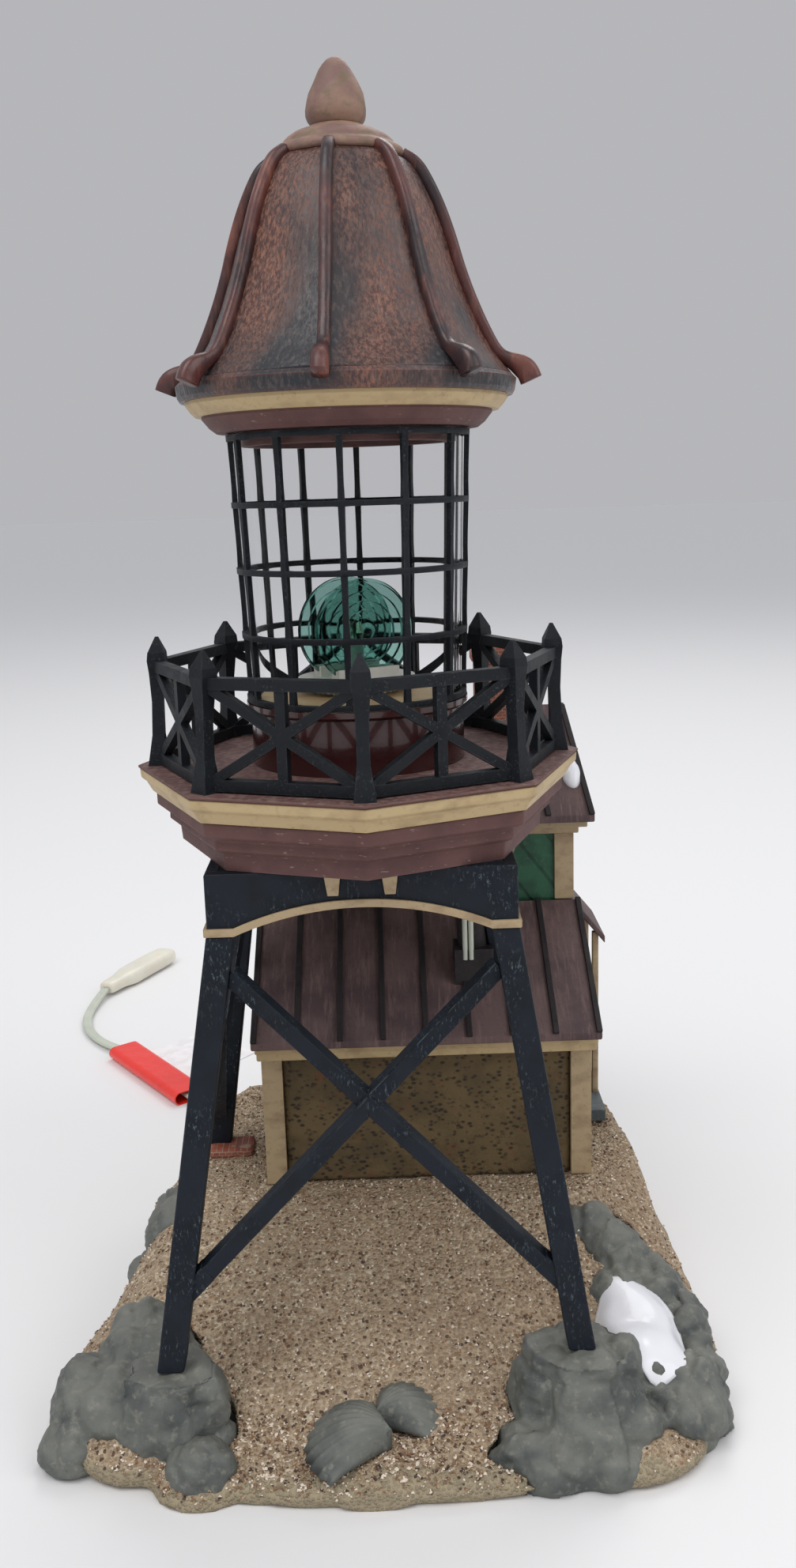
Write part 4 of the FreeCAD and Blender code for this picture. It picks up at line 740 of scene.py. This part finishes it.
# CAD node, the scene's name, size of the relief in mm, its depth in mm, where its noise starts,
# edge of the voxels in mm, and the bosses.
ROCKS = [
    ("rocks_front_left", "rock_front_left", 17, 2.2, 1.3, 1.0,
     [((-63, -47, 11), (14, 12, 9)), ((-75, -41, 9), (9, 12, 10)), ((-76, -54, 4), (9, 8, 6)),
      ((-63, -22, 14), (9, 9, 9)), ((-58, -34, 14), (13, 12, 9))]),
    ("rocks_front_right", "rock_front_right", 17, 2.2, 4.1, 1.0,
     [((62, -59, 7), (8, 7, 8)), ((77, -53, 6), (9, 9, 9)), ((42, -65, 4), (12, 8, 7)),
      ((55, -66, 4), (8, 7, 6)), ((69, -50, 12), (4, 4, 7)), ((56, -47, 9), (12, 9, 9)),
      ((66, -38, 9), (14, 16, 8))]),
    ("rocks_right", "rock_right", 15, 2.0, 7.7, 1.0,
     [((61, 8, 22), (9, 10, 8)), ((68, -2, 19), (9, 10, 8)), ((76, -14, 15), (8, 10, 9)),
      ((81, -28, 11), (8, 11, 9)), ((83, -41, 7), (7, 9, 8)), ((66, -16, 15), (10, 10, 8))]),
    ("rocks_rear_left", "rock_rear_left", 18, 2.2, 9.2, 1.0,
     [((-58, 22, 15), (12, 11, 14)), ((-45, 25, 20), (11, 9, 9)), ((-66, 12, 9), (8, 9, 9))]),
    ("stone_front", "small_stone", 9, 1.0, 12.5, 0.8, [((-43, -64, 4), (9, 7, 9))]),
]


def kept_inside(piece):
    """Brings every vertex back inside the model's own box."""
    low, high = cad_box
    for vertex in piece.data.vertices:
        for axis in range(3):
            vertex.co[axis] = min(max(vertex.co[axis], low[axis]), high[axis])


def above(piece):
    """A function that gives the highest level of a piece at (x, y) in metres, or None."""
    high_up = 0.3  # metres, over every rock
    tree = BVHTree.FromPolygons([vertex.co for vertex in piece.data.vertices],
                                [tuple(polygon.vertices) for polygon in piece.data.polygons])

    def level(x, y):
        hit = tree.ray_cast(Vector((x, y, high_up)), DOWN)
        return None if hit[0] is None else hit[0].z
    return level


def crag(size, depth, seed):
    """Rock relief: rounded bosses parted by creases, mostly cut inwards."""
    shift = Vector((seed, seed * 0.7, -seed))

    def shape(point, normal):
        place = point + shift
        cell = noise.voronoi(place / size)[0]
        crease = smooth_step(cell[1] - cell[0], 0.0, 0.22)
        folds = clouds(place, size * 0.55)
        fine = clouds(place, size * 0.16, 2)
        foot = smooth_step(point.z, 0.0, 4 * MM)
        ridge = 1 - 2 * abs(clouds(place, size * 0.4, 2))
        relief = -0.55 * (1 - crease) + 0.35 * folds + 0.3 * ridge + 0.16 * fine - 0.15
        return depth * foot * relief
    return shape


def joined_bosses(piece, bosses):
    """Adds the bosses to the piece's mesh."""
    whole = bmesh.new()
    whole.from_mesh(piece.data)
    for centre, half in bosses:
        place = Matrix.Translation(Vector(centre) * MM) @ Matrix.Diagonal(Vector(half) * MM).to_4x4()
        bmesh.ops.create_icosphere(whole, subdivisions=3, radius=1.0, matrix=place)
    whole.to_mesh(piece.data)
    whole.free()


def grown(node, name, bosses, voxel, relief):
    """A copy of a node with bosses, melted into one skin with relief."""
    piece = copied(node, name)
    joined_bosses(piece, bosses)
    remeshed(piece, voxel)
    moved(piece, relief)
    kept_inside(piece)
    return piece


def sand_relief(point, normal):
    """Low drifts on top, a soft lip round the edge, and a flat underside."""
    if normal.z < -0.5 or point.z < 1 * MM:
        return 0.0
    return (0.7 * clouds(point, 0.022) + 0.18 * clouds(point, 0.004, 2) - 0.35) * MM


ground_level = above(grown("sand_base", "sand_ground", SAND_BOSSES, SAND_VOXEL, sand_relief))
rock_levels = [above(grown(node, name, bosses, voxel * MM, crag(size * MM, depth * MM, seed)))
               for node, name, size, depth, seed, voxel, bosses in ROCKS]


def top_level(x, y):
    """The level of the rock or sand that lies uppermost at (x, y), in metres."""
    levels = [level(x, y) for level in rock_levels + [ground_level]]
    return max((level for level in levels if level is not None), default=0.0)


def ribbed_shell(name, hinge, aim, length, width, rise, ribs):
    """A half shell lying open side down: ribs fan out from the hinge to a scalloped lip."""
    rows, columns = 14, ribs * 6
    half_fan = math.radians(78)
    rib_rise = 0.5 * MM
    scallop = 0.05  # how far a rib stands out at the lip, as a share of the length
    forward = Vector((math.cos(aim), math.sin(aim), 0))
    side = Vector((-forward.y, forward.x, 0))
    verts, faces = [], []
    for row in range(rows + 1):
        reach = row / rows
        for column in range(columns + 1):
            share = 2 * column / columns - 1
            fan = share * half_fan
            rib = 0.5 + 0.5 * math.cos(FULL_TURN * ribs * column / columns)
            out = reach * (1 + scallop * rib * reach)
            # Highest along the middle rib and a little behind it, and on the ground at the lip.
            dome = math.sqrt(max(0.0, 1 - (abs(share) ** 2.2) * 0.98))
            arch = math.sin(math.pi * min(1.0, 0.12 + 0.88 * reach) ** 0.8) ** 0.7 if reach < 1 else 0.0
            lift = rise * dome * arch + rib_rise * rib * reach * dome
            ahead = forward * (length * out * math.cos(fan * 0.82))
            place = hinge + ahead + side * (width * out * math.sin(fan))
            verts.append((place.x, place.y, place.z + lift))
    for row in range(rows):
        for column in range(columns):
            start = row * (columns + 1) + column
            faces.append((start, start + 1, start + columns + 2, start + columns + 1))
    shell = add(name, "base", "rock_grey", verts, faces)
    modified(shell, "SOLIDIFY", "thick", thickness=1.2 * MM, offset=-1)
    apply_modifiers(shell)
    return shell


shell_level = ground_level(0.0, -58 * MM) or 6 * MM
shell_left = ribbed_shell("shell_left", Vector((3 * MM, -63 * MM, shell_level - 0.5 * MM)),
                          math.radians(158), 21 * MM, 15 * MM, 9.5 * MM, 12)
ribbed_shell("shell_right", Vector((-1 * MM, -56 * MM, shell_level)),
             math.radians(38), 18 * MM, 12 * MM, 8.0 * MM, 10)
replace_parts(shell_left, "ribbed_stone")


def snow_patch(name, centre, half, turn, thick):
    """A smooth white cap that lies over whatever is under it and thins to its rim. Lengths in mm."""
    rings, spokes = 14, 44
    around_it = (-10, -5, 0, 5, 10)
    least, sunk = 0.3 * MM, 0.4 * MM
    points = []
    for ring in range(rings + 1):
        share = ring / rings
        for angle in turns(spokes):
            wobble = 1 + 0.1 * math.sin(2 * angle + 0.6) + 0.05 * math.sin(5 * angle)
            across = half[0] * share * wobble * math.cos(angle)
            along_y = half[1] * share * wobble * math.sin(angle)
            x = (centre[0] + across * math.cos(turn) - along_y * math.sin(turn)) * MM
            y = (centre[1] + across * math.sin(turn) + along_y * math.cos(turn)) * MM
            around = [top_level(x + dx * MM, y + dy * MM) for dx in around_it for dy in around_it]
            smooth_level = sum(around) / len(around)
            under = top_level(x, y)
            crown = thick * MM * math.sqrt(max(0.0, 1 - share * share))
            rim = smooth_step(share, 0.75, 1.0)
            level = (1 - rim) * (smooth_level + crown) + rim * (under - sunk)
            points.append((x, y, max(level, under + least) if share < 1 else under - sunk))
    patch = add(name, "base", "snow_white", points, ring_faces(rings + 1, spokes, capped=False))
    modified(patch, "WELD", "weld", merge_threshold=0.05 * MM)
    modified(patch, "SMOOTH", "even", iterations=12)
    modified(patch, "SOLIDIFY", "thick", thickness=0.6 * MM, offset=-1)
    apply_modifiers(patch)
    patch.data.shade_smooth()


snow_patch("snow_on_rocks", (68.0, -34.5), (11.0, 20.5), math.radians(17), 4.4)


def grains(name, count, seed, zone):
    """Loose grains of sand lying on the bare ground of a zone, as one piece of eight-sided bits."""
    chance = random.Random(seed)
    (left, right), (front, back) = zone
    corners = ((1, 0, 0), (0, 1, 0), (-1, 0, 0), (0, -1, 0), (0, 0, 0.8), (0, 0, -0.8))
    verts, faces = [], []
    while len(verts) < count * len(corners):
        x, y = chance.uniform(left, right), chance.uniform(front, back)
        level = ground_level(x, y)
        if level is None or level < 2 * MM or top_level(x, y) > level + 1 * MM:
            continue
        size = chance.uniform(0.28, 0.62) * MM
        centre = Vector((x, y, level + size * 0.3))
        start = len(verts)
        turn = (Matrix.Rotation(chance.uniform(0, 6.28), 3, "Z")
                @ Matrix.Rotation(chance.uniform(-0.6, 0.6), 3, "X"))
        for corner in corners:
            stretch = chance.uniform(0.7, 1.25)
            verts.append(centre + turn @ (Vector(corner) * size * stretch))
        for a, b in ((0, 1), (1, 2), (2, 3), (3, 0)):
            faces += [(start + a, start + b, start + 4), (start + b, start + a, start + 5)]
    piece = add(name, "base", "sand", verts, faces, smooth=False)
    kept_inside(piece)
    piece.data.materials[0] = finishes["grain"]


grains("sand_grains", 5200, 11, ((-0.084, 0.092), (-0.074, 0.105)))
grains("sand_grains_front", 1500, 23, ((-0.065, 0.06), (-0.074, -0.052)))


# ---------------------------------------------------------------- roof: bell, ribs, cap and bud

ROOF_TURN = math.radians(-96)
PANEL = math.radians(45)
PANEL_FLATNESS = 0.62  # 0 is round between the ribs, and 1 is flat
RIB_HALF = 1.5  # mm, of a rib's width and depth
RIB_LIFT = 0.9  # mm, of a rib's middle above the bell
# Radius in mm at the ribs and share of the height, from the eave up.
BELL = [(40.9, 0.0), (39.3, 0.04), (36.8, 0.10), (33.9, 0.19), (30.4, 0.34), (27.6, 0.49), (25.3, 0.64),
        (22.9, 0.77), (20.0, 0.89), (17.6, 0.96), (14.6, 1.0)]
TOE = [(45.4, -0.03), (44.4, 0.012), (42.4, 0.045)]
# Radius and rise in mm.
CAP = [(0.5, -0.6), (15.4, -0.6), (15.9, 0.2), (15.5, 1.2), (14.4, 1.9), (13.6, 2.3), (13.4, 2.9),
       (12.6, 3.8), (10.8, 4.9), (9.0, 5.6), (7.6, 6.0), (7.0, 6.4), (6.6, 6.6), (0.5, 6.6)]
# Radius in mm and share of the height.
BUD = [(0.5, 0.0), (5.9, 0.0), (6.2, 0.04), (6.9, 0.10), (7.25, 0.17), (7.3, 0.25), (7.0, 0.36),
       (6.4, 0.48), (5.6, 0.60), (4.7, 0.71), (3.8, 0.81), (2.9, 0.89), (1.9, 0.955), (0.9, 0.99),
       (0.2, 1.0)]


def bell_radius(share):
    for (start, low), (end, high) in zip(BELL, BELL[1:]):
        if share <= high:
            return start + (end - start) * (share - low) / (high - low)


def lathe(name, profile, foot, segments, relief):
    """A turned piece on the tower's axis from (radius, rise) in mm above foot, with a little relief."""
    verts = []
    for radius, rise in profile:
        for turn in turns(segments):
            place = Vector((radius * math.cos(turn), radius * math.sin(turn), rise)) * MM
            uneven = relief * MM * clouds(place, 0.006)
            out = Vector((math.cos(turn), math.sin(turn), 0)) * uneven
            verts.append(place + out + UP * foot)
    return add(name, "roof", "cap_tan", verts, ring_faces(len(profile), segments))


def make_bell(foot, tall):
    """The bell between the ribs, in eight panels that are a little flat."""
    rows, columns = 60, 160
    verts = []
    for row in range(rows + 1):
        share = row / rows
        radius = bell_radius(share)
        for turn in turns(columns):
            panel = (turn + PANEL / 2) % PANEL - PANEL / 2
            flat = math.cos(PANEL / 2) / math.cos(PANEL / 2 - abs(panel))
            reach = radius * (1 - PANEL_FLATNESS + PANEL_FLATNESS * flat)
            angle = turn + ROOF_TURN
            place = Vector((reach * math.cos(angle), reach * math.sin(angle), 0)) * MM
            place.z = foot + tall * share
            dent = (0.22 * clouds(place, 0.016) + 0.06 * clouds(place, 0.003, 2)) * MM
            verts.append(place + place.normalized() * dent)
    bell = add("roof_bell", "roof", "dome_slate", verts, ring_faces(rows + 1, columns, capped=False))
    modified(bell, "SOLIDIFY", "wall", thickness=2.0 * MM, offset=-1)
    apply_modifiers(bell)
    bell.data.shade_smooth()
    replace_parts(bell, "roof_dome")


def smoothed(points, steps):
    """Points of a Catmull-Rom curve through (radius, share) pairs."""
    line = []
    padded = [points[0]] + points + [points[-1]]
    for a, b, c, d in zip(padded, padded[1:], padded[2:], padded[3:]):
        for step in range(steps):
            t = step / steps
            line.append(tuple(0.5 * (2 * q + (r - p) * t + (2 * p - 5 * q + 4 * r - s) * t * t
                                     + (3 * q - p - 3 * r + s) * t ** 3)
                              for p, q, r, s in zip(a, b, c, d)))
    return line + [points[-1]]


def make_ribs(foot, tall):
    """Eight rounded ribs down the bell's corners, to toes that turn up beyond the eave."""
    count = 12
    line = smoothed(TOE + [(radius + RIB_LIFT, share) for radius, share in BELL[2:]], 6)
    verts, faces = [], []
    for index in range(8):
        angle = ROOF_TURN + math.radians(45 * index)
        out = Vector((math.cos(angle), math.sin(angle), 0))
        side = Vector((-out.y, out.x, 0))
        faces += ring_faces(len(line), count, len(verts))
        for step, (radius, share) in enumerate(line):
            before = line[max(step - 1, 0)]
            after = line[min(step + 1, len(line) - 1)]
            forward = out * (after[0] - before[0]) * MM + UP * ((after[1] - before[1]) * tall)
            normal = side.cross(forward).normalized()
            swell = 1.0 + 0.35 * smooth_step(radius, 38, 44)  # towards the toe
            centre = out * radius * MM + UP * (foot + tall * share)
            half_wide, half_deep = RIB_HALF * swell * MM, RIB_HALF * swell * swell * MM
            uneven = 1 + 0.06 * clouds(centre, 0.005)
            for turn in turns(count):
                across = squared_off(math.cos(turn), 0.6)
                up = squared_off(math.sin(turn), 0.8)
                verts.append(centre + side * across * half_wide * uneven + normal * up * half_deep)
    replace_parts(add("roof_rib_bars", "roof", "rib_copper", verts, faces), "roof_ribs")


bell_low, bell_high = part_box("roof_dome")
make_bell(bell_low[2], bell_high[2] - bell_low[2])
make_ribs(bell_low[2], bell_high[2] - bell_low[2])
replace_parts(lathe("cap_mound", CAP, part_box("roof_cap")[0][2], 72, 0.25), "roof_cap")
bud_low, bud_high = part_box("finial")
bud_tall = (bud_high[2] - bud_low[2]) / MM
bud_profile = [(radius, share * bud_tall) for radius, share in BUD]
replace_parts(lathe("bud_finial", bud_profile, bud_low[2], 48, 0.3), "finial")


# ---------------------------------------------------------------- house

HOUSE_FOOT = 29.5 * MM
PIT_SPACING = 3.4 * MM


def pitted(point, normal):
    """Rough stucco on the upright faces: shallow waves with small sharp pits."""
    if point.z < HOUSE_FOOT or abs(normal.z) > 0.6:
        return 0.0
    near = noise.voronoi(point / PIT_SPACING)[0][0]
    patch = smooth_step(clouds(point, 0.02), -0.1, 0.25)
    pits = 0.55 * patch * (1 - smooth_step(near, 0.12, 0.42))
    return (0.12 * clouds(point, 0.006) - pits - 0.1) * MM


def block(name, slot, low, high, edge, relief=0.0):
    """A box with rounded edges between two corners, finely divided where it has relief. All in mm."""
    verts = [(x * MM, y * MM, z * MM) for x in (low[0], high[0]) for y in (low[1], high[1])
             for z in (low[2], high[2])]
    faces = [(0, 1, 3, 2), (4, 6, 7, 5), (0, 4, 5, 1), (2, 3, 7, 6), (0, 2, 6, 4), (1, 5, 7, 3)]
    piece = add(name, "base", slot, verts, faces, smooth=False)
    rounded_edges(piece, edge * MM, 3)
    apply_modifiers(piece)
    if relief:
        remeshed(piece, 0.7 * MM)
        moved(piece, lambda point, normal: relief * MM * clouds(point, 0.005))
    piece.data.shade_smooth()


def make_porch():
    """A small lean-to roof over the slab at the right-hand wall, on two thin posts."""
    # (x, z) in mm, drawn out from y 69 to y 96.
    section = [(64.6, 101.5), (64.6, 104.0), (75.8, 90.2), (75.8, 87.7)]
    verts = [(x * MM, y * MM, z * MM) for y in (69.0, 96.0) for x, z in section]
    faces = [(0, 1, 2, 3), (7, 6, 5, 4), (0, 4, 5, 1), (1, 5, 6, 2), (2, 6, 7, 3), (3, 7, 4, 0)]
    rounded_edges(add("porch_roof", "base", "roof_brown", verts, faces, smooth=False), 0.4 * MM, 2)
    for index, y in enumerate((71.0, 92.0)):
        block("porch_post_%d" % index, "trim_tan", (72.0, y, 34.8), (74.0, y + 2.0, 91.0), 0.3)


def roof_snow():
    """A small white lump that has slid to the right-hand edge of the upper roof."""
    half_sizes = (3.0 * MM, 5.4 * MM, 2.6 * MM, 1.0)
    place = Matrix.Translation(Vector((64.2, 63.0, 145.2)) * MM) @ Matrix.Rotation(math.radians(46), 4, "X")
    lump = bmesh.new()
    bmesh.ops.create_icosphere(lump, subdivisions=4, radius=1.0, matrix=place @ Matrix.Diagonal(half_sizes))
    mesh = bpy.data.meshes.new("roof_snow")
    lump.to_mesh(mesh)
    lump.free()
    points = [vertex.co + vertex.co.normalized() * 0.5 * MM * clouds(vertex.co, 0.004)
              for vertex in mesh.vertices]
    faces = [tuple(polygon.vertices) for polygon in mesh.polygons]
    bpy.data.meshes.remove(mesh)
    add("snow_on_roof", "base", "snow_white", points, faces)


walls = copied("lower_walls", "stucco_walls")
remeshed(walls, 0.9 * MM)
moved(walls, pitted)
block("eave_board", "cream", (-33.4, 19.2, 72.6), (65.3, 21.6, 77.0), 0.5)
block("eave_board_lip", "cream", (-33.8, 18.4, 75.0), (65.7, 20.0, 77.0), 0.5)
block("salmon_block", "brick_red", (-52.5, 42.0, 28.5), (-38.5, 52.5, 33.4), 1.2, 0.5)
make_porch()
roof_snow()


# ---------------------------------------------------------------- camera, light and stage

CAMERA = dict(place=(6.6, -348.2, 234.2), yaw=-0.0091771, pitch=0.2159352, roll=-0.0304397, lens=31.2)
# Place, aim, size in metres, and power in watts.
LAMPS = {
    "key": ((-0.5, -0.7, 1.5), (0, 0, 0.15), 1.2, 11),
    "fill": ((0.9, -0.5, 0.9), (0, 0, 0.15), 1.0, 4),
    "back": ((0.3, 1.0, 1.4), (0, 0.1, 0.1), 1.0, 7),
}
TABLE_HALF = 12


def make_camera():
    """The camera as solved from the photograph, in mm and radians."""
    yaw, pitch, roll = CAMERA["yaw"], CAMERA["pitch"], CAMERA["roll"]
    forward = Vector((-math.sin(yaw) * math.cos(pitch), math.cos(yaw) * math.cos(pitch), -math.sin(pitch)))
    right = Vector((math.cos(yaw), math.sin(yaw), 0))
    up = right.cross(forward)
    turned_right = math.cos(roll) * right + math.sin(roll) * up
    turned_up = -math.sin(roll) * right + math.cos(roll) * up
    data = bpy.data.cameras.new("camera")
    data.lens = CAMERA["lens"]
    data.sensor_width = 36
    data.clip_start = 0.01
    camera = linked("camera", data)
    turn = Matrix((turned_right, turned_up, -forward)).transposed()
    camera.matrix_world = Matrix.Translation(Vector(CAMERA["place"]) * MM) @ turn.to_4x4()
    bpy.context.scene.camera = camera


def make_lamps():
    """Soft round lamps."""
    for name, (place, aim, size, power) in LAMPS.items():
        data = bpy.data.lights.new(name, "AREA")
        data.shape = "DISK"
        data.size = size
        data.energy = power
        lamp = linked(name, data)
        lamp.location = place
        lamp.rotation_euler = (Vector(aim) - Vector(place)).to_track_quat("-Z", "Y").to_euler()


def make_table():
    """A wide white table."""
    paint = Paint("table_white", (0.81, 0.8, 0.795, 1), 0.6)
    paint.bump(paint.noise(300, EVEN, 3), 0.03 * MM)
    corners = [(x * TABLE_HALF, y * TABLE_HALF, 0) for x, y in ((-1, -1), (1, -1), (1, 1), (-1, 1))]
    mesh = bpy.data.meshes.new("table")
    mesh.from_pydata(corners, [], [(0, 1, 2, 3)])
    mesh.shade_smooth()
    mesh.materials.append(paint.done())
    linked("table", mesh)


def make_world():
    """A pale world, which is light grey where the camera sees it, also through glass."""
    world = bpy.data.worlds.new("studio")
    world.use_nodes = True
    tree = world.node_tree
    light = tree.nodes["Background"]
    light.inputs["Color"].default_value = (0.93, 0.95, 1.0, 1)
    light.inputs["Strength"].default_value = 0.6
    seen = tree.nodes.new("ShaderNodeBackground")
    seen.inputs["Color"].default_value = (0.466, 0.468, 0.488, 1)
    path = tree.nodes.new("ShaderNodeLightPath")
    either = tree.nodes.new("ShaderNodeMath")
    either.operation = "MAXIMUM"
    mix = tree.nodes.new("ShaderNodeMixShader")
    for output, socket in ((path.outputs["Is Camera Ray"], either.inputs[0]),
                           (path.outputs["Is Transmission Ray"], either.inputs[1]),
                           (either.outputs[0], mix.inputs[0]),
                           (light.outputs[0], mix.inputs[1]),
                           (seen.outputs[0], mix.inputs[2]),
                           (mix.outputs[0], tree.nodes["World Output"].inputs["Surface"])):
        tree.links.new(output, socket)
    bpy.context.scene.world = world


make_camera()
make_lamps()
make_table()
make_world()
bpy.context.scene.view_settings.view_transform = "Standard"
